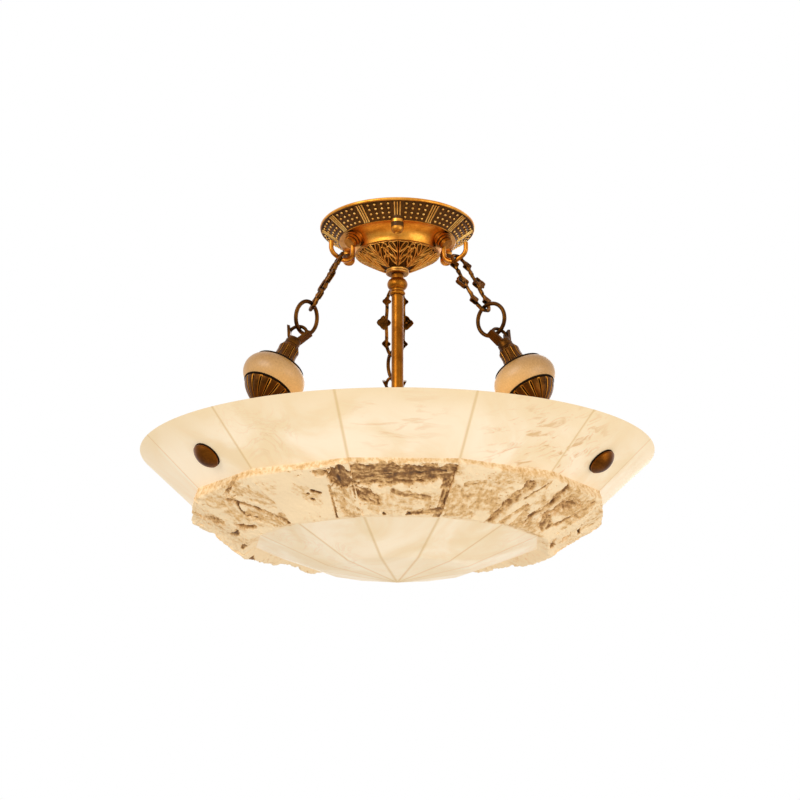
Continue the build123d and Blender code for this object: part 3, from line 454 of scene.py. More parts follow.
@dataclass(frozen=True)
class BandedBrass(AgedBrass):
    """Gilt brass, except for a band whose ground is filled with dark, dull wax."""

    band_in: float = 59.6
    band_out: float = 78.6
    band_top: float = -4.9
    band_foot: float = -19.0
    wax_dark: str = "2A1706"
    wax_light: str = "6E4418"
    wax_mottle: float = 3.0

    def paint(self, graph: Graph) -> None:
        """Lay the wax over the brass, between two radii and two heights."""
        radius = graph.axis_distance()
        height = graph.parts[2]
        ring = graph.calc("MULTIPLY", graph.calc("GREATER_THAN", radius, self.band_in * MM),
                          graph.calc("LESS_THAN", radius, self.band_out * MM))
        level = graph.calc("MULTIPLY", graph.calc("GREATER_THAN", height, self.band_foot * MM),
                           graph.calc("LESS_THAN", height, self.band_top * MM))
        mask = graph.calc("MULTIPLY", ring, level)
        wax = graph.mix(graph.noise(self.wax_mottle, 3.0), self.wax_dark, self.wax_light)
        # The wax is dull and isn't metal, so it doesn't mirror the white room.
        graph.feed(Base_Color=graph.mix(mask, self.metal(graph), wax),
                   Metallic=graph.span(mask, 0.0, 1.0, 1.0, 0.0),
                   Specular_IOR_Level=graph.span(mask, 0.0, 1.0, 0.5, 0.1))


@dataclass(frozen=True)
class HonedAlabaster(Finish):
    """Alabaster honed smooth, with a painted glow for the lamps inside: cream, cloudy, with thin tan joints
    between slabs.
    """

    light: str = "F4DFBF"
    shade: str = "E8CDA1"
    vein: str = "C79A60"
    streak: str = "CFA266"
    joint: str = "CBA868"
    glow: float = 0.26
    roughness: float = 0.38
    cloud_size: float = 70.0
    vein_size: float = 42.0
    vein_amount: float = 0.4
    vein_half: float = 0.035
    patch_size: float = 120.0
    streak_size: float = 7.5
    streak_slant: float = -52.0
    streak_stretch: float = 0.22
    streaks_right: Numbers = (0.135, -0.19, -0.27)
    streaks_front: Numbers = (-0.01, -0.232, -0.262)
    rim_shade: Point2 = (-0.274, -0.247)
    joint_reach: Point2 = (2.1, 0.3)
    joint_amount: float = 0.55

    def paint(self, graph: Graph) -> None:
        """Cloudy stone with veins in patches, streaks, joints and a soft painted glow."""
        clouds = graph.noise(self.cloud_size, 5.0, Roughness=0.55, Distortion=0.8)
        base = graph.mix(graph.span(clouds, 0.36, 0.66, soft=True), self.light, self.shade)
        # Veins: thin wavering lines, only where a wide patch mask lets them show.
        wander = graph.noise(self.vein_size, 7.0, Roughness=0.62, Distortion=1.6)
        off = graph.calc("ABSOLUTE", graph.calc("SUBTRACT", wander, 0.5))
        shown = graph.span(graph.noise(self.patch_size, 2.0), 0.5, 0.66)
        veins = graph.calc("MULTIPLY", graph.span(off, self.vein_half, 0.0), shown)
        veined = graph.mix(graph.calc("MULTIPLY", veins, self.vein_amount), base, self.vein)
        graph.stone(self.jointed(graph, self.streaked(graph, veined)), self.glow, self.roughness)

    def streaked(self, graph: Graph, colour: Socket) -> Socket:
        """Draw slanting crystal streaks on two rim slabs, and a shade under the rim's edge."""
        lean = {"Vector": graph.place, "Rotation": (0.0, math.radians(self.streak_slant), 0.0),
                "Scale": (self.streak_stretch, 1.0, 1.0)}
        slant = add_node(graph.tree, "Mapping", None, lean).outputs[0]
        grain = graph.noise(self.streak_size, 5.0, Vector=slant, Roughness=0.62, Distortion=0.7)
        where = graph.calc("MAXIMUM", graph.near(self.streaks_right, 0.085, 0.04, 0.75),
                           graph.near(self.streaks_front, 0.06, 0.02, 0.38))
        amount = graph.calc("MULTIPLY", graph.span(grain, 0.52, 0.62), where)
        marked = graph.mix(amount, colour, self.streak)
        edge = graph.span(graph.parts[2], *self.rim_shade, 0.0, 0.75, soft=True)
        return graph.mix(edge, marked, self.shade)

    def jointed(self, graph: Graph, colour: Socket) -> Socket:
        """Draw the glued joints, which lie at equal angles round the bowl."""
        angle = graph.calc("ARCTAN2", graph.parts[1], graph.parts[0])
        # Whole turns are added so that the phase is never negative; a half turn puts a slab in front.
        phase = graph.calc("MULTIPLY_ADD", angle, PANELS / (2 * math.pi), 20.0 + PANELS / 4 + 0.5)
        share = graph.calc("PINGPONG", phase, 0.5)
        arc = graph.calc("MULTIPLY", share, graph.axis_distance())
        away = graph.calc("MULTIPLY", arc, 2 * math.pi / PANELS / MM)
        line = graph.span(away, *self.joint_reach, 0.0, self.joint_amount, soft=True)
        return graph.mix(line, colour, self.joint)


@dataclass(frozen=True)
class TurnedAlabaster(Finish):
    """The finials' alabaster: tan and finely speckled, with painted light that makes it paler towards the lit
    bowl below, and a faint painted glow.
    """

    light: str = "EDBE7C"
    shade: str = "9A6C34"
    glow: float = 0.1
    roughness: float = 0.38
    upper: float = -166.0
    lower: float = -206.0
    speckle_size: float = 1.6
    speckle_share: float = 0.8
    cloud_size: float = 26.0
    cloud_share: float = 0.2
    tones: Point2 = (0.35, 1.6)

    def paint(self, graph: Graph) -> None:
        """Speckled stone, with painted light that pales it downwards."""
        speckle = graph.noise(self.speckle_size, 3.0, Roughness=0.7)
        # Painted light: paler downwards, towards the lit bowl.
        fall = graph.span(graph.parts[2], self.upper * MM, self.lower * MM, soft=True)
        shifted = graph.calc("MULTIPLY_ADD", speckle, self.speckle_share, fall)
        share = graph.calc("MULTIPLY_ADD", graph.noise(self.cloud_size, 3.0), self.cloud_share, shifted)
        colour = graph.mix(graph.span(share, *self.tones), self.shade, self.light)
        graph.stone(colour, self.glow, self.roughness)


@dataclass(frozen=True)
class RawAlabaster(Finish):
    """Alabaster left as quarried: pale ridges, brown clay and painted shade in the crevices, pitted all over.
    """

    tones: tuple[tuple[float, str], ...] = (
        (0.06, "EDD1A6"), (0.28, "D2A66A"), (0.56, "8E612E"), (0.92, "4A2C0E"))
    glow: float = 0.24
    roughness: float = 0.62
    grit_size: float = 5.0
    grit_depth: float = 0.8
    grit_reach: Point2 = (4.6, 0.3)
    crevice_reach: float = 4.0
    crevice_shade: float = 0.34

    def paint(self, graph: Graph) -> None:
        """Colour the stone by how far each point lies below the ridges."""
        depth = graph.hollow()
        grit = graph.noise(self.grit_size, 5.0, Roughness=0.66)
        # Clay lies unevenly: grit breaks up a stain most where the stain is middling.
        middling = graph.calc("MULTIPLY", depth, graph.calc("SUBTRACT", 1.0, depth))
        reach = graph.calc("MULTIPLY_ADD", middling, *self.grit_reach)
        broken = graph.calc("MULTIPLY_ADD", graph.calc("SUBTRACT", grit, 0.5), reach, depth)
        # Painted shade: darker where the stone is shut in, in its crevices.
        crevice = graph.span(graph.open_sky(self.crevice_reach), 0.6, 0.15, 0.0, self.crevice_shade)
        ramp = add_node(graph.tree, "ValToRGB", None, {0: graph.calc("ADD", broken, crevice)})
        stops = ramp.color_ramp.elements
        stops.remove(stops[1])
        stops[0].position = self.tones[0][0]
        for position, _ in self.tones[1:]:
            stops.new(position)
        for stop, (_, tint) in zip(stops, self.tones):
            stop.color = linear(tint)
        graph.stone(ramp.outputs[0], self.glow, self.roughness)
        graph.feed(Normal=graph.bump(grit, self.grit_depth, 0.6))


class Sort(Enum):
    """How light meets a plain finish: as metal, or not."""

    METAL = 1.0
    OTHER = 0.0


@dataclass(frozen=True)
class PlainFinish(Finish):
    """A hidden or small part's finish, with a fine mottle so that it isn't flat."""

    light: str
    dark: str
    roughness: float
    sort: Sort = Sort.OTHER
    grain: float = 3.0
    glow: float = 0.0
    ior: float = 1.5

    def paint(self, graph: Graph) -> None:
        """Waver between two colours."""
        colour = graph.mix(graph.noise(self.grain, 4.0), self.dark, self.light)
        graph.feed(Base_Color=colour, Metallic=self.sort.value, Roughness=self.roughness)
        if self.sort is Sort.OTHER:
            graph.feed(IOR=self.ior)
        if self.glow:
            graph.feed(Emission_Color=linear(self.light), Emission_Strength=self.glow)


FINISHES: dict[str, Finish] = {
    "gilt": BandedBrass("gilt_cast_brass", high="F2AA46", body="C67C24", dark="5A300A", roughness=0.33,
                        hollow_reach=5.0, dark_amount=0.6),
    "relief": AgedBrass("relief_cast_brass", high="F0AE56", body="BE7A2A", dark="2C1604", from_attribute=True,
                        dark_amount=0.96),
    "beads": AgedBrass("rubbed_brass_beads", high="FBCB78", body="CE8E38", hollow_reach=1.6, dark_amount=0.8),
    "cap_nut": BandedBrass("gilt_cap_nut", high="E29A3E", body="A86418", dark="3A1E06", hollow_reach=2.0,
                           band_in=0.0, band_out=90.0, band_top=0.0, band_foot=-26.6),
    "hook": AgedBrass("gilt_cast_hook", high="D68A32", body="94560F", dark="241002", hollow_reach=3.5,
                      dark_amount=1.0),
    "ball": AgedBrass("turned_gilt_collar", high="B4701E", body="7A440E", dark="2E1604"),
    "stem": AgedBrass("spun_antique_brass", high="995C17", body="743F0A", dark="301602", hollow_reach=5.0),
    "nut": AgedBrass("bronzed_brass_nut", high="7C4612", body="542C0A", dark="1E0E02", hollow_reach=3.0),
    "chain": AgedBrass("cast_bronze", high="6A3E10", body="3A2009", dark="120802", hollow_reach=5.0,
                       roughness=0.38),
    "chain_relief": AgedBrass("cast_bronze_relief", high="A06420", body="5A3410", dark="1C0E03",
                              from_attribute=True, roughness=0.42, dark_amount=1.0),
    "fluted": AgedBrass("fluted_antique_brass", high="673B12", body="3A2008", dark="120902",
                        from_attribute=True, dark_amount=1.0, edge_highlight="B8782A"),
    "collar": TurnedAlabaster("turned_alabaster"),
    "bowl": HonedAlabaster("honed_alabaster"),
    "raw": RawAlabaster("quarried_alabaster"),
    "rubber": PlainFinish("moulded_black_rubber", "2A1A0C", "140C06", 0.85, ior=1.15),
    "zinc": PlainFinish("zinc_plated_steel", "B9B7B0", "8E8C86", 0.34, Sort.METAL),
    "block": PlainFinish("moulded_ivory_plastic", "ECE8DA", "DDD6C2", 0.45),
    "sleeve": PlainFinish("insulated_wire", "4A4A4A", "343434", 0.5),
    "porcelain": PlainFinish("glazed_porcelain", "F2EEE2", "E6DFCC", 0.22),
    "lamp": PlainFinish("frosted_lamp_glass", "FFF2D6", "FBE4B8", 0.35, glow=0.9, grain=30.0),
}

NODE_FINISHES: dict[str, tuple[str, ...]] = {
    "gilt": ("canopy_dish",),
    "ball": ("ball_collar",),
    "cap_nut": ("canopy_cap_nut",),
    "hook": ("chain_hook",),
    "nut": ("bowl_cap_nut",),
    "stem": ("acanthus_boss", "stem_tube", "lamp_hub", "hub_cap", "lamp_arms", "hanger_rod"),
    "chain": ("chain_link", "chain_ring", "shackle"),
    "fluted": ("finial_cone", "fluted_cup"),
    "collar": ("alabaster_collar",),
    "bowl": ("rim_panels", "bottom_petals", "centre_petals"),
    "raw": ("middle_blocks",),
    "rubber": ("finial_gaskets", "wall_pads", "outer_washers"),
    "zinc": ("ceiling_bracket", "bracket_studs", "stem_nipple", "stem_lock_nut", "hook_nuts", "cup_nuts",
             "wall_lock_nuts", "earth_screw"),
    "block": ("terminal_block",),
    "sleeve": ("lead_wires",),
    "porcelain": ("lampholder",),
    "lamp": ("bulb",),
}


class Palette:
    """Builds each finish once, and dresses pieces and nodes with it."""

    def __init__(self) -> None:
        """Build every material."""
        self.made = {key: finish.build() for key, finish in FINISHES.items()}

    def dress(self, piece: Object, finish: str) -> None:
        """Give a new piece its material.

        Args:
            piece: the piece.
            finish: the finish's key.
        """
        piece.data.materials.clear()
        piece.data.materials.append(self.made[finish])

    def dress_nodes(self, nodes: dict[str, Object]) -> None:
        """Give every carried-over node its finish."""
        for finish, stems in NODE_FINISHES.items():
            for name, node in nodes.items():
                if name.rstrip("0123456789").rstrip("_") in stems:
                    for slot in node.material_slots:
                        slot.material = self.made[finish]


# ---------------------------------------------------------------- the hanging lines
@dataclass(frozen=True)
class HangingLine:
    """One of the three lines of hook, link, ring, shackle and finial."""

    number: int
    azimuth: float
    link_turn: float

    def at(self, distance: float, turn: float = 0.0) -> Matrix:
        """The place at a distance down the line, turned about the line.

        Args:
            distance: millimetres from the centre of the hook's eye.
            turn: degrees about the line.

        Returns:
            The matrix, in millimetres.
        """
        across = Vector((math.cos(HANG_LEAN), 0.0, math.sin(HANG_LEAN)))
        up = Vector((-math.sin(HANG_LEAN), 0.0, math.cos(HANG_LEAN)))
        leaning = Matrix((across, up.cross(across), up)).transposed().to_4x4()
        leaning.translation = EYE - up * distance
        return turned_by(self.azimuth) @ leaning @ turned_by(turn)


LINES = (HangingLine(1, -30.0, -20.0), HangingLine(2, 210.0, -10.0), HangingLine(3, 90.0, 0.0))


# ---------------------------------------------------------------- canopy
@dataclass
class CanopyBand:
    """Raised ribs and rows of beads on the canopy's sloping band."""

    top: Numbers = (77.2, 0.0, -6.3)
    foot: Numbers = (60.2, 0.0, -18.6)
    ribs: int = 12
    turn: float = -1.8
    rib_radius: float = 0.899
    rib_gap: float = 2.9
    rib_lift: float = 0.6
    rib_taper: float = 0.18
    rib_shares: Numbers = (0.0, 0.08, 0.3, 0.6, 0.92, 1.0)
    bead_rows: int = 4
    bead_columns: int = 4
    bead_radius: float = 1.4
    bead_lift: float = 0.35
    bead_flat: float = 0.86
    bead_spread: float = 5.3
    first_row: float = 0.13
    last_row: float = 0.87

    def spot(self, share: float, lift: float) -> Vector:
        """A place on the band, at a share down its slope and a lift out of it."""
        top = Vector(self.top)
        down = Vector(self.foot) - top
        normal = Vector((down.z, 0.0, -down.x)).normalized()
        return top + down * share + normal * lift

    def rib_set(self) -> Object:
        """One set of three raised ribs, on the +X side."""
        bars = []
        for step in (-1, 0, 1):
            points = []
            for share in self.rib_shares:
                lift = 0.0 if share in (0.0, 1.0) else self.rib_lift
                side = step * self.rib_gap * (1.0 - self.rib_taper * share)
                points.append(self.spot(share, lift) + Vector((0.0, side, 0.0)))
            bars.append(Bench.tube(f"rib_{step}", points, self.rib_radius, 8))
        return Bench.joined("rib_set", bars)

    def bead(self) -> Object:
        """One bead of a few dozen faces, at the origin."""
        Bench.clear()
        bpy.ops.mesh.primitive_uv_sphere_add(segments=10, ring_count=6, radius=self.bead_radius * MM)
        bead = bpy.context.object
        with Bench.editing(bead):
            bpy.ops.transform.resize(value=(1.0, 1.0, self.bead_flat))
        return bead

    def build(self, palette: Palette) -> list[Object]:
        """Model the ribs and the beads, each as one piece."""
        step = 360.0 / self.ribs
        start = FRONT + self.turn
        rib_places = [turned_by(start + step * index) for index in range(self.ribs)]
        bead_places = []
        for panel in range(self.ribs):
            for row in range(self.bead_rows):
                share = self.first_row + (self.last_row - self.first_row) * row / (self.bead_rows - 1)
                for column in range(self.bead_columns):
                    spread = (column - (self.bead_columns - 1) / 2) * self.bead_spread
                    place = Matrix.Translation(self.spot(share, self.bead_lift))
                    bead_places.append(turned_by(start + step * (panel + 0.5) + spread) @ place)
        made = []
        for name, model, places, sharp in (("canopy_band_ribs", self.rib_set(), rib_places, 50.0),
                                           ("canopy_band_beads", self.bead(), bead_places, 180.0)):
            piece = Bench.joined(name, [Bench.copied(model, "copy", place) for place in places])
            bpy.data.objects.remove(model)
            Bench.soft(piece, sharp)
            palette.dress(piece, "beads")
            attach(piece, "fitting")
            made.append(piece)
        return made


@dataclass
class AcanthusBoss:
    """The dish under the canopy, cast with leaves whose lobes curl round raised veins."""

    top: Point2 = (43.1, -33.3)
    belly: Point2 = (27.6, -42.5)
    foot: Point2 = (11.4, -51.0)
    ring_height: float = 3.0
    bore: float = 5.3
    wall: float = 3.0
    leaves: int = 8
    relief: float = 1.8
    plain_hollow: float = 0.35
    leaf_length: float = 36.8
    lobes: tuple[tuple[Point2, Point2, float], ...] = (
        ((1.4, 5.0), (7.0, 15.5), 1.7), ((1.6, 12.0), (10.6, 26.0), 2.3), ((1.6, 21.5), (8.0, 32.4), 2.1))
    arch: tuple[Point2, Point2, float] = ((0.0, 16.0), (0.0, 30.5), 2.2)
    midrib_off: float = 0.9
    midrib_width: float = 0.6
    edge_down: float = 1.2
    edge_scallop: float = 1.3
    edge_width: float = 0.75
    outline_width: float = 0.8
    vein_width: float = 0.45
    vein_height: float = 0.55
    back_height: float = 0.9
    columns: int = 760
    rows: int = 76

    def relief_at(self, share: float, angle: float, radius: float) -> float:
        """How far the casting stands out, 0 to 1.

        Args:
            share: 0 at the top edge and 1 at the foot.
            angle: degrees round the axis from the front.
            radius: the distance from the axis there.

        Returns:
            The height of the relief there.
        """
        step = 360.0 / self.leaves
        around = ((angle / step + 0.5) % 1.0 - 0.5) * step
        up = (1.0 - share) * self.leaf_length
        half = math.radians(step / 2) * radius
        across = abs(math.radians(around) * radius)
        lobes = max(self.lobe(across, up, *lobe) for lobe in self.lobes)
        midrib = ridge(across - self.midrib_off, self.midrib_width) * smooth(1.0, 3.0, up)
        scallop = self.edge_scallop * abs(math.sin(math.radians(around * self.leaves * 1.5)))
        edge = ridge(up - (self.leaf_length - self.edge_down - scallop), self.edge_width)
        behind = max(self.lobe(half - across, up, *self.arch), edge)
        return min(max(lobes, midrib, behind * self.back_height), 1.0)

    def lobe(self, across: float, up: float, base: Point2, tip: Point2, half: float) -> float:
        """One looped lobe: a raised outline, sunk inside, with a low vein.

        Args:
            across: millimetres from the leaf's middle.
            up: millimetres from the foot.
            base: where the lobe starts.
            tip: where it ends.
            half: half of its greatest width.

        Returns:
            The height, 0 to 1.
        """
        dx, dy = tip[0] - base[0], tip[1] - base[1]
        px, py = across - base[0], up - base[1]
        t = min(max((px * dx + py * dy) / (dx * dx + dy * dy), 0.0), 1.0)
        off = math.hypot(px - dx * t, py - dy * t)
        swell = half * smooth(-0.25, 0.6, t)
        vein = self.vein_height * ridge(off, self.vein_width) if off < swell else 0.0
        return max(ridge(off - swell, self.outline_width), vein)

    def build(self, palette: Palette) -> list[Object]:
        """Model the boss, in place of the plain casting."""
        arc = self.arc()
        radius, height = self.foot
        below = height - self.ring_height
        foot_ring = [(0.0, height - 0.2), (0.35, height - 0.9), (0.35, below + 0.8), (-0.2, below + 0.2),
                     (-1.0, below)]
        loop = arc + [(radius + out, level) for out, level in foot_ring] + [
            (self.bore, below + 0.05), (self.bore, height + 2.6), (self.bore + 4.0, height + 2.8),
            (self.belly[0] - self.wall - 1.6, self.belly[1] + self.wall),
            (self.top[0] - self.wall, self.top[1])]
        last = self.rows - 1

        def shape(point: Numbers, index: float, angle: float) -> tuple[float, float, float]:
            if index > last:
                return *point, self.plain_hollow
            share = index / last
            low = min(int(index), last - 1)
            dx, dy = arc[low + 1][0] - arc[low][0], arc[low + 1][1] - arc[low][1]
            size = math.hypot(dx, dy)
            fade = smooth(0.0, 0.03, share) * smooth(1.0, 0.96, share)
            hollow = (1.0 - self.relief_at(share, math.degrees(angle) - FRONT, point[0])) * fade
            sink = hollow * self.relief
            return point[0] + dy / size * sink, point[1] - dx / size * sink, hollow

        boss = Bench.turned("acanthus_boss_relief", loop, self.columns, shape)
        Bench.soft(boss, 60.0)
        palette.dress(boss, "relief")
        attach(boss, "fitting")
        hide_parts("acanthus_boss")
        return [boss]

    def arc(self) -> list[Numbers]:
        """Points along the arc through the top edge, the belly and the foot."""
        (ax, ay), (bx, by), (cx, cy) = self.top, self.belly, self.foot
        squares = [x * x + y * y for x, y in (self.top, self.belly, self.foot)]
        twice = 2 * (ax * (by - cy) + bx * (cy - ay) + cx * (ay - by))
        ux = (squares[0] * (by - cy) + squares[1] * (cy - ay) + squares[2] * (ay - by)) / twice
        uy = (squares[0] * (cx - bx) + squares[1] * (ax - cx) + squares[2] * (bx - ax)) / twice
        radius = math.hypot(ax - ux, ay - uy)
        start, end = math.atan2(ay - uy, ax - ux), math.atan2(cy - uy, cx - ux)
        turns = [start + (end - start) * index / (self.rows - 1) for index in range(self.rows)]
        return [(ux + radius * math.cos(turn), uy + radius * math.sin(turn)) for turn in turns]


# ---------------------------------------------------------------- chain
@dataclass
class LatticeLink:
    """A long cast link: two strands that carry square flowers standing on their corners."""

    half_length: float = 35.4
    middle: float = 41.5
    neck: float = 24.4
    end_half: float = 5.4
    waist_half: float = 8.6
    waist_up: float = 14.5
    bar: float = 1.9
    gnarl: float = 0.45
    gnarl_scale: float = 0.34
    thick: float = 4.0
    quads: int = 26
    flowers: tuple[Numbers, ...] = ((0.0, 12.0, 9.0), (22.8, 9.2, 5.6), (-22.8, 9.2, 5.6))

    @staticmethod
    def petals(a: float, b: float) -> float:
        """How high a flower stands, 0 to 1: a raised rim, four petals with veins, and a bead."""
        reach = math.hypot(a, b)
        turn = math.atan2(b, a)
        rim = smooth(0.26, 0.14, 1.0 - max(abs(a), abs(b)))
        petal = ridge(reach - 0.46, 0.2) * (0.5 + 0.5 * math.cos(4 * turn)) ** 1.5
        vein = ridge(reach - 0.5, 0.24) * ridge(math.sin(2 * turn), 0.12) * 0.3
        return min(max(rim, petal * 0.72 - vein, smooth(0.26, 0.16, reach)), 1.0)

    def flower(self, half: float) -> Object:
        """A square flower in the YZ plane, at the origin, by half of its diagonal."""
        side = half * math.sqrt(2)
        turn = math.radians(45)

        def place(u: float, v: float) -> tuple[Vector, float]:
            # the sheet wraps round: v runs over the front, the edge and the back
            front = v < 0.5
            a = 2 * u - 1
            b = max(-1.0, min(1.0, (4 * v - 1) if front else (3 - 4 * v)))
            high = self.petals(a, b)
            depth = self.thick / 2 * (0.42 + 0.58 * high)
            # rounded corners, and a notch in the middle of each side, as between petals
            low, far = sorted((abs(a), abs(b)))
            corner = 1.0 - 0.14 * (abs(a) * abs(b)) ** 2
            corner -= 0.13 * far ** 6 * ridge(low, 0.24)
            y, z = a * side / 2 * corner, b * side / 2 * corner
            return Vector((depth if front else -depth, y * math.cos(turn) - z * math.sin(turn),
                           y * math.sin(turn) + z * math.cos(turn))), 1.0 - high

        flower = Bench.formed("flower", self.quads, 2 * self.quads, place)
        Bench.clean(flower)
        Bench.cap(flower)
        return flower

    def strand(self, side: int) -> Object:
        """One strand of the link, from its top bar to its foot bar; side is 1 or -1."""
        top, end, waist = self.half_length, self.end_half, self.waist_half
        upper = [(0.0, top), (end * 0.75, top), (end + 1.0, top - 3.0), (waist + 0.6, self.neck),
                 (waist, self.waist_up)]
        corners = upper + [(waist + 1.2, 0.0)] + [(y, -z) for y, z in reversed(upper)]
        route = [Vector((0.0, side * y, z)) for y, z in rounded(corners, 3)]
        strand = Bench.tube(f"strand_{side}", route, self.bar, 12)
        hollows = strand.data.attributes["hollow"].data
        for vertex, hollow in zip(strand.data.vertices, hollows):
            place = vertex.co / MM
            bump = noise.fractal(place * self.gnarl_scale, 0.8, 2.1, 3)
            free = smooth(top - 2.0, top - 6.0, abs(place.z))
            out = Vector((place.x, 0.0, 0.0)).normalized() if abs(place.x) > 0.3 else Vector()
            vertex.co += out * bump * self.gnarl * 2.0 * free * MM
            hollow.value = min(max(0.35 - bump * 0.9, 0.0), 1.0)
        return strand

    def build(self, palette: Palette) -> list[Object]:
        """Model one link, centred on the origin along Z, and hang a copy on each line."""
        parts = [self.strand(1), self.strand(-1)]
        for side in (1, -1):
            for up, across, half in self.flowers:
                parts.append(Bench.moved(self.flower(half), Matrix.Translation((0.0, side * across, up))))
        model = Bench.joined("link_model", parts)
        Bench.soft(model, 55.0)
        links = []
        for line in LINES:
            link = Bench.copied(model, f"lattice_link_{line.number}", line.at(self.middle, line.link_turn))
            palette.dress(link, "chain_relief")
            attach(link, f"link_{line.number}")
            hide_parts(f"chain_link_{line.number}")
            links.append(link)
        bpy.data.objects.remove(model)
        return links


# ---------------------------------------------------------------- finials
@dataclass(frozen=True)
class Fluted:
    """One fluted part of a finial, by its outline of radius, height and how fluted it is."""

    name: str
    node: str
    top: float
    flutes: int
    groove_depth: float
    outline: tuple[Numbers, ...]

    def model(self, bore: float) -> Object:
        """The part, along its line from the eye of the hook."""
        outer = [(r, z - self.top, detail) for r, z, detail in rounded(list(self.outline), 2)]
        loop = outer + [(bore, outer[-1][1], 0.0), (bore, -self.top, 0.0)]
        return Bench.turned(self.name, loop, 12 * self.flutes, self.fluted)

    def fluted(self, point: Numbers, _: float, angle: float) -> tuple[float, float, float]:
        """Swell between narrow grooves, as gadroons do."""
        radius, height, detail = point
        phase = (angle * self.flutes / (2 * math.pi)) % 1.0
        near = min(phase, 1.0 - phase) * 2
        groove = ridge(near, 0.17)
        swell = math.sqrt(max(0.0, 1.0 - (1.0 - near) ** 2))
        sink = detail * self.groove_depth * (0.72 * groove + 0.28 * (1.0 - swell))
        return radius - sink, height, detail * groove


@dataclass
class FinialBrass:
    """The fluted cone above each alabaster collar and the fluted cup below it."""

    bore: float = 4.4
    parts: tuple[Fluted, ...] = (
        Fluted("fluted_cone", "finial_cone", 124.5, 12, 1.25, (
            (7.6, 0.0, 0.0), (8.3, -0.5, 0.0), (8.6, -1.6, 0.0), (7.9, -2.2, 0.0), (9.6, -3.0, 0.6),
            (10.4, -4.4, 1.0), (9.9, -7.5, 1.0), (10.0, -12.0, 1.0), (10.9, -16.5, 1.0),
            (12.6, -20.6, 1.0), (14.2, -23.4, 0.5), (14.4, -24.4, 0.0), (14.2, -25.3, 0.0))),
        Fluted("gadroon_cup", "fluted_cup", 176.8, 16, 1.5, (
            (23.2, 0.0, 0.0), (23.7, -0.4, 0.0), (23.6, -1.2, 0.5), (22.9, -2.6, 1.0), (21.4, -5.4, 1.0),
            (18.4, -9.4, 1.0), (13.6, -13.8, 1.0), (9.6, -16.8, 0.9), (7.9, -18.0, 0.2), (7.5, -18.8, 0.0))))

    def build(self, palette: Palette) -> list[Object]:
        """Model a cone and a cup, and put a copy of each on each line."""
        made = []
        for part in self.parts:
            model, node = part.model(self.bore), part.node
            Bench.soft(model, 50.0)
            for line in LINES:
                piece = Bench.copied(model, f"{part.name}_{line.number}", line.at(0.0))
                palette.dress(piece, "fluted")
                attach(piece, "bowl")
                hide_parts(f"{node}_{line.number}")
                made.append(piece)
            bpy.data.objects.remove(model)
        return made


# ---------------------------------------------------------------- bowl
class Wall(Enum):
    """How a broken place meets the face round it: the share of its width that slopes."""

    STEEP = 0.16
    RAGGED = 0.4
    HOLLOW = 0.95


@dataclass(frozen=True)
class Break:
    """A broken place on a raw block, sunk into its face and stained with clay.

    Its ends run from 0 to 1 across the block and down it. The width, from the middle line to the
    edge, and the depth below the face are in millimetres.
    """

    from_u: float
    from_v: float
    to_u: float
    to_v: float
    width: float
    depth: float
    stain: float
    wall: Wall = Wall.RAGGED
    face_width = 80.0
    face_height = 73.0

    def at(self, u: float, v: float, seed: float) -> tuple[float, float]:
        """How deep and how stained the face is at a place.

        Args:
            u: the share across the block.
            v: the share down it.
            seed: keeps each block's texture its own.

        Returns:
            The depth in millimetres and the stain from 0 to 1.
        """
        wide, tall = self.face_width, self.face_height
        dx, dy = (self.to_u - self.from_u) * wide, (self.to_v - self.from_v) * tall
        px, py = (u - self.from_u) * wide, (v - self.from_v) * tall
        length = math.hypot(dx, dy)
        t = min(max((px * dx + py * dy) / length ** 2, 0.0), 1.0)
        off = math.hypot(px - dx * t, py - dy * t)
        if off > self.width * 1.9 + 2.0:
            return 0.0, 0.0
        ragged = noise.fractal(Vector((u * wide / 7.0, v * tall / 7.0, seed)), 0.75, 2.2, 4)
        off -= ragged * min(self.width * 0.42, 5.0)
        inside = smooth(self.width, self.width * (1.0 - self.wall.value), off)
        if inside <= 0.0:
            return 0.0, 0.0
        along, aside = (px * dx + py * dy) / length, (px * dy - py * dx) / length
        streaks = noise.fractal(Vector((along / 11.0, aside / 3.2, seed + 5.0)), 0.7, 2.1, 4)
        uneven = streaks * (0.175 if self.wall is Wall.HOLLOW else 0.5)
        return self.depth * inside * (0.9 + uneven), self.stain * inside * (0.86 + uneven)


@dataclass(frozen=True)
class BlockFace:
    """How one raw block is broken: its roughness, its flecks, its tan cast and its broken places."""

    rough: float
    flecks: float
    tan: float
    breaks: tuple[Break, ...]

    def at(self, u: float, v: float, seed: float) -> tuple[float, float]:
        """How deep and how stained the face is at a place; the arguments are as for a break."""
        lumps = noise.fractal(Vector((u * 4.4 + seed, v * 3.8, 0.3 * seed)), 0.8, 2.1, 5)
        grit = abs(noise.fractal(Vector((u * 26.0, v * 24.0, seed)), 0.7, 2.2, 4))
        cell = noise.voronoi(Vector((u * 24.0 + 3.0 * lumps, v * 22.0, seed)))[0][0]
        wide = noise.noise(Vector((u * 3.0 + seed, v * 3.0, 1.7)))
        fleck = smooth(0.26, 0.1, cell) * smooth(-0.2, 0.25, wide) * self.flecks
        depth = self.rough * (1.9 * abs(lumps) + 0.45 * grit) + 0.9 * fleck
        cast = noise.fractal(Vector((u * 2.3 + seed, v * 2.6, 4.1)), 0.8, 2.1, 3)
        pale = max(0.0, 0.5 - abs(lumps) * 2.0)
        stain = 0.36 * fleck + self.tan * smooth(-0.45, 0.5, cast) + 0.1 * self.rough * pale
        for place in self.breaks:
            sunk, dirty = place.at(u, v, seed)
            depth = max(depth, sunk) + 0.25 * min(depth, sunk)
            stain = max(stain, dirty)
        return depth + 0.3 * grit * min(stain * 3.0, 1.0), stain


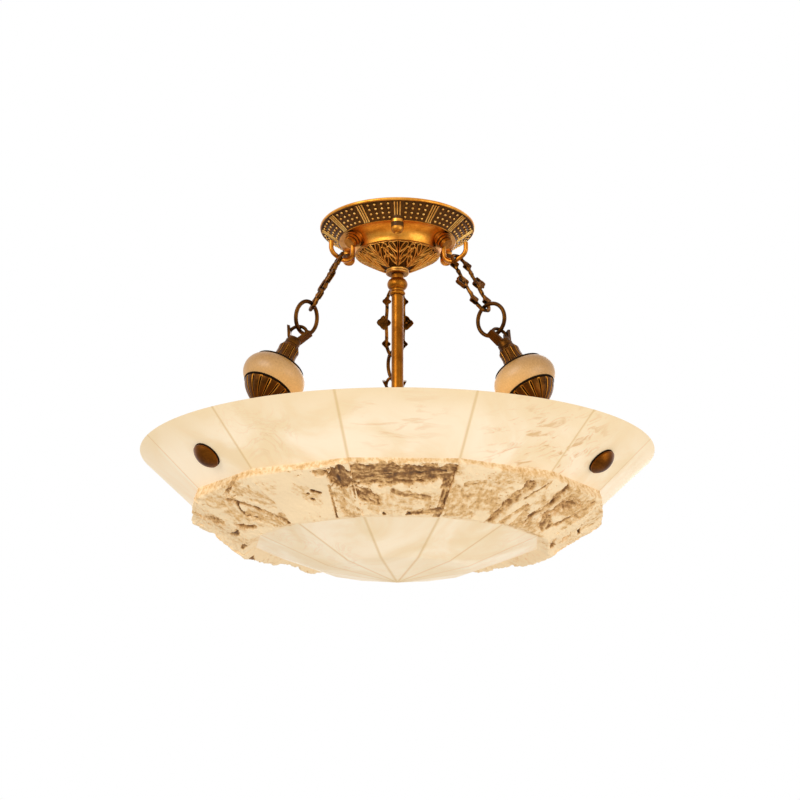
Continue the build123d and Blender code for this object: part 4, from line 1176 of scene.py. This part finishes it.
# Each block's face, counted from the front to the right; the blocks not named take a plain one.
FACES: dict[int, BlockFace] = {
    0: BlockFace(1.5, 1.0, 0.1, (
        Break(0.0, 0.24, 0.5, 0.22, 16.0, 3.4, 0.5), Break(0.45, 0.22, 1.0, 0.2, 12.5, 3.8, 0.54),
        Break(0.0, 0.5, 0.16, 0.66, 9.0, 3.0, 0.5), Break(0.96, 0.3, 0.97, 0.95, 6.0, 2.6, 0.5),
        Break(0.6, 0.86, 0.95, 0.84, 4.4, 1.8, 0.48), Break(0.05, 0.3, 0.9, 0.2, 2.2, 4.8, 0.66),
        Break(0.27, 0.88, 0.28, 0.9, 1.7, 3.0, 0.7), Break(0.56, 0.9, 0.6, 0.9, 2.2, 3.0, 0.78),
        Break(0.2, 0.7, 0.8, 0.7, 17.0, 0.8, 0.2), Break(0.42, 0.5, 0.78, 0.62, 4.0, 1.6, 0.42))),
    12: BlockFace(0.5, 0.8, 0.1, (
        Break(0.87, 0.17, 0.875, 0.34, 10.6, 6.5, 0.54, Wall.STEEP),
        Break(0.66, 0.13, 0.73, 0.12, 5.0, 2.6, 0.3),
        Break(0.44, 0.46, 0.445, 0.46, 1.8, 3.4, 0.9), Break(0.5, 0.43, 0.51, 0.43, 2.3, 3.8, 1.0),
        Break(0.56, 0.46, 0.57, 0.47, 2.1, 3.6, 1.0), Break(0.45, 0.56, 0.47, 0.57, 1.7, 3.0, 0.85),
        Break(0.72, 0.36, 0.64, 0.95, 1.6, 1.6, 0.5), Break(0.84, 0.52, 0.86, 0.92, 12.5, 1.6, 0.27),
        Break(0.99, 0.3, 0.97, 0.62, 1.4, 1.6, 0.7), Break(0.4, 0.36, 0.5, 0.6, 9.0, 0.5, 0.2),
        Break(0.06, 0.2, 0.1, 0.3, 6.0, 0.4, 0.2))),
    11: BlockFace(1.0, 1.0, 0.22, (
        Break(0.4, 0.24, 0.97, 0.94, 3.4, 4.4, 0.55), Break(0.45, 0.32, 0.38, 0.54, 1.5, 2.6, 0.7),
        Break(0.38, 0.54, 0.5, 0.66, 1.3, 2.2, 0.62), Break(0.75, 0.0, 0.46, 0.16, 2.8, 2.6, 0.36),
        Break(0.5, 0.6, 0.85, 0.95, 11.0, 2.0, 0.26), Break(0.66, 0.1, 0.92, 0.5, 12.0, 1.4, 0.22),
        Break(0.08, 0.66, 0.3, 0.76, 5.0, 5.0, 0.44), Break(0.9, 0.75, 0.97, 0.95, 5.0, 1.6, 0.4))),
    10: BlockFace(2.0, 1.0, 0.1, (
        Break(0.2, 0.3, 0.5, 0.48, 5.0, 5.5, 0.45), Break(0.4, 0.6, 0.85, 0.74, 3.2, 4.0, 0.66),
        Break(0.6, 0.2, 0.85, 0.45, 8.0, 4.0, 0.27), Break(0.2, 0.85, 0.6, 0.9, 2.6, 3.0, 0.55),
        Break(0.3, 0.1, 0.7, 0.9, 22.0, 1.0, 0.18))),
    9: BlockFace(2.1, 1.0, 0.1, (
        Break(0.3, 0.4, 0.7, 0.7, 5.0, 5.0, 0.5), Break(0.5, 0.2, 0.9, 0.35, 6.0, 4.0, 0.34),
        Break(0.3, 0.85, 0.8, 0.9, 2.6, 3.0, 0.62), Break(0.3, 0.5, 0.7, 0.5, 24.0, 1.0, 0.18))),
    1: BlockFace(0.9, 1.0, 0.24, (
        Break(0.82, 0.2, 0.74, 0.56, 7.0, 3.4, 0.44), Break(0.74, 0.54, 0.66, 1.0, 4.6, 3.6, 0.48),
        Break(0.16, 0.36, 0.34, 0.26, 4.0, 1.6, 0.4), Break(0.1, 0.5, 0.1, 0.9, 10.0, 1.2, 0.26),
        Break(0.98, 0.12, 0.88, 0.42, 1.2, 1.6, 0.68), Break(0.99, 0.55, 0.8, 0.98, 3.6, 2.2, 0.34),
        Break(0.4, 0.45, 0.34, 0.9, 8.0, 0.9, 0.3), Break(0.5, 0.2, 0.2, 0.7, 16.0, 0.4, 0.24))),
    2: BlockFace(1.0, 1.0, 0.26, (
        Break(0.62, 0.3, 0.5, 0.56, 15.0, 9.0, 0.36, Wall.HOLLOW),
        Break(0.32, 0.1, 0.3, 0.34, 5.0, 3.4, 0.56),
        Break(0.3, 0.34, 0.2, 0.66, 5.0, 3.0, 0.5), Break(0.2, 0.66, 0.3, 0.8, 4.0, 2.4, 0.46),
        Break(0.92, 0.12, 0.84, 0.66, 3.4, 2.0, 0.4), Break(0.6, 0.66, 0.7, 0.74, 9.0, 2.4, 0.44))),
    3: BlockFace(1.9, 1.0, 0.1, (
        Break(0.3, 0.5, 0.6, 0.62, 9.0, 9.0, 0.3, Wall.HOLLOW), Break(0.4, 0.36, 0.8, 0.42, 2.2, 4.0, 0.78),
        Break(0.2, 0.8, 0.7, 0.84, 3.0, 4.0, 0.46), Break(0.4, 0.1, 0.6, 0.3, 16.0, 1.2, 0.2))),
    4: BlockFace(2.0, 1.0, 0.1, (
        Break(0.2, 0.5, 0.7, 0.6, 5.0, 5.0, 0.42), Break(0.3, 0.8, 0.8, 0.86, 2.4, 3.0, 0.62),
        Break(0.4, 0.3, 0.6, 0.5, 20.0, 1.0, 0.18))),
}
PLAIN_FACES = (3, 9, 4, 10)


@dataclass
class RawBlocks:
    """The ring of unworked blocks between the rim slabs and the bottom slabs."""

    top: Point2 = (200.0, -294.1)
    foot: Point2 = (138.5, -333.4)
    inner_top: Point2 = (191.6, -285.4)
    inner_foot: Point2 = (134.0, -322.2)
    front_proud: float = 5.2
    back_proud: float = 12.0
    side_swell: float = 5.0
    least_proud: float = 0.5
    columns: int = 112
    rows: int = 88
    back_rows: int = 3

    def proud(self, azimuth: float) -> float:
        """How far the blocks stand out of the bowl's profile, in millimetres."""
        turn = math.radians(azimuth - FRONT)
        share = (1 - math.cos(turn)) / 2
        swell = self.side_swell * math.sin(turn) ** 2
        return self.front_proud + (self.back_proud - self.front_proud) * share + swell

    def block(self, number: int) -> Object:
        """Model one block, counted from the front to the right, as broken rock on its outer face."""
        azimuth = FRONT + SEAM_STEP * number
        face = FACES.get(number, FACES[PLAIN_FACES[number % len(PLAIN_FACES)]])
        seed = 3.7 * number + 1.1
        run = Vector((self.foot[0] - self.top[0], self.foot[1] - self.top[1]))
        out = Vector((-run.y, run.x)).normalized()
        back = [self.foot, self.inner_foot, self.inner_top, self.top]
        total = self.rows + 3 * self.back_rows

        def place(u: float, v: float) -> tuple[Vector, float]:
            index = v * total
            side = 2 * u - 1
            hollow = 0.1
            if index <= self.rows:
                share = index / self.rows
                swell = smooth(0.0, 0.04, share) * smooth(1.0, 0.9, share)
                sway = noise.noise(Vector(((number + u) * 2.1, share * 2.3, 1.3)))
                depth, stain = face.at(u, share, seed)
                edge = smooth(0.0, 0.03, share) * smooth(1.0, 0.97, share)
                proud = self.proud(azimuth + side * SEAM_STEP / 2)
                lift = max(proud * swell * (0.9 + 0.42 * sway) - depth * edge, self.least_proud * edge)
                radius, height = Vector(self.top) + run * share + out * lift
                hollow = min(max(stain + 0.035 * (depth - 1.5), 0.0), 1.0) * (0.35 + 0.65 * edge)
                # Painted shade: a pale tan band along the block's top edge, under the rim slabs.
                hollow = max(hollow, 0.2 * smooth(0.06, 0.02, share))
            else:
                radius, height = polyline(back, (index - self.rows) / (total - self.rows))
            across = radius * math.cos(SEAM_HALF)
            return Vector((across, side * across * math.tan(SEAM_HALF), height)), hollow

        item = Bench.formed(f"raw_block_{number + 1:02d}", self.columns, total, place)
        Bench.clean(item, 0.01)
        Bench.cap(item)
        Bench.soft(item, 38.0)
        return Bench.moved(item, turned_by(azimuth))

    def build(self, palette: Palette) -> list[Object]:
        """Model all the blocks, in place of the plain ones."""
        blocks = []
        for number in range(PANELS):
            block = self.block(number)
            palette.dress(block, "raw")
            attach(block, "bowl")
            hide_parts("middle_blocks")
            blocks.append(block)
        return blocks


# ---------------------------------------------------------------- stage
@dataclass
class Studio:
    """Floor, world, lamps and camera."""

    floor_height: float = -1.5
    floor_size: float = 14.0
    sky_light: float = 0.55
    lamp_aim: Numbers = (0.0, 0.0, -0.2)
    camera_distance: float = 1.4523
    camera_height: float = -0.6053
    camera_turn: float = -1.8
    camera_tilt: float = 16.07
    camera_side: float = 0.0026
    lens: float = 68.35
    sensor: float = 36.0
    lamps: tuple[tuple[str, Numbers, float, float], ...] = (
        ("key_lamp", (-1.5, -1.7, 0.5), 1.5, 26.0), ("fill_lamp", (1.7, -1.3, -0.6), 1.6, 14.0),
        ("back_lamp", (0.4, 1.8, 0.5), 1.4, 12.0))

    def build(self) -> None:
        """Make the stage, the light and the camera."""
        self.floor()
        self.world()
        for lamp in self.lamps:
            self.lamp(*lamp)
        self.camera()

    def floor(self) -> None:
        """A plain pale floor far below the pendant."""
        Bench.clear()
        bpy.ops.mesh.primitive_plane_add(size=self.floor_size, location=(0.0, 0.0, self.floor_height))
        floor = bpy.context.object
        floor.name = "floor"
        graph = Graph("matt_white_floor")
        graph.feed(Base_Color=linear("EDEDED"), Roughness=0.9)
        floor.data.materials.append(graph.material)

    def world(self) -> None:
        """White where the camera, gloss and glass see it, and softer as a light."""
        world = bpy.data.worlds.new("white_room")
        bpy.context.scene.world = world
        world.use_nodes = True
        tree = world.node_tree
        tree.nodes.clear()
        path = add_node(tree, "LightPath").outputs
        seen = path["Is Camera Ray"]
        for kind in ("Is Glossy Ray", "Is Transmission Ray"):
            seen = add_node(tree, "Math", {"operation": "MAXIMUM"}, {0: seen, 1: path[kind]}).outputs[0]
        light, white = (add_node(tree, "Background", None, {"Color": linear("FFFFFF"), "Strength": strength})
                        for strength in (self.sky_light, 1.0))
        mixed = add_node(tree, "MixShader", None, {0: seen, 1: light.outputs[0], 2: white.outputs[0]})
        add_node(tree, "OutputWorld", None, {"Surface": mixed.outputs[0]})

    def lamp(self, name: str, spot: Numbers, size: float, power: float) -> None:
        """A square soft lamp that faces the pendant.

        Args:
            name: its name.
            spot: where it stands, in metres.
            size: its side, in metres.
            power: its power, in watts.
        """
        data = bpy.data.lights.new(name, "AREA")
        data.size = size
        data.energy = power
        lamp = bpy.data.objects.new(name, data)
        bpy.context.collection.objects.link(lamp)
        lamp.location = spot
        lamp.rotation_euler = (Vector(self.lamp_aim) - Vector(spot)).to_track_quat("-Z", "Y").to_euler()

    def camera(self) -> None:
        """The photograph's viewpoint, below the bowl's rim and looking up."""
        data = bpy.data.cameras.new("camera")
        data.lens = self.lens
        data.sensor_width = self.sensor
        turn = math.radians(self.camera_turn)
        camera = bpy.data.objects.new("camera", data)
        bpy.context.collection.objects.link(camera)
        place = Vector((self.camera_side, -self.camera_distance, self.camera_height))
        camera.location = turned_by(self.camera_turn) @ place
        camera.rotation_euler = (math.radians(90.0 + self.camera_tilt), 0.0, turn)
        bpy.context.scene.camera = camera


def corners(bounds: tuple[Vector, Vector]) -> list[list[float]]:
    """A box's two corners as plain lists."""
    return [[float(value) for value in corner] for corner in bounds]


def main() -> None:
    """Load the frame, build each sub-assembly and set the stage."""
    logging.basicConfig(level=logging.INFO, format="%(name)s: %(message)s", force=True)
    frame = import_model()
    palette = Palette()
    palette.dress_nodes(frame["nodes"])
    for assembly in (CanopyBand(), AcanthusBoss(), LatticeLink(), FinialBrass(), RawBlocks()):
        for piece in assembly.build(palette):
            LOG.info("%s: %d faces", piece.name, len(piece.data.polygons))
    Studio().build()
    bpy.context.scene.view_settings.view_transform = "Standard"


if __name__ == "__main__":
    main()
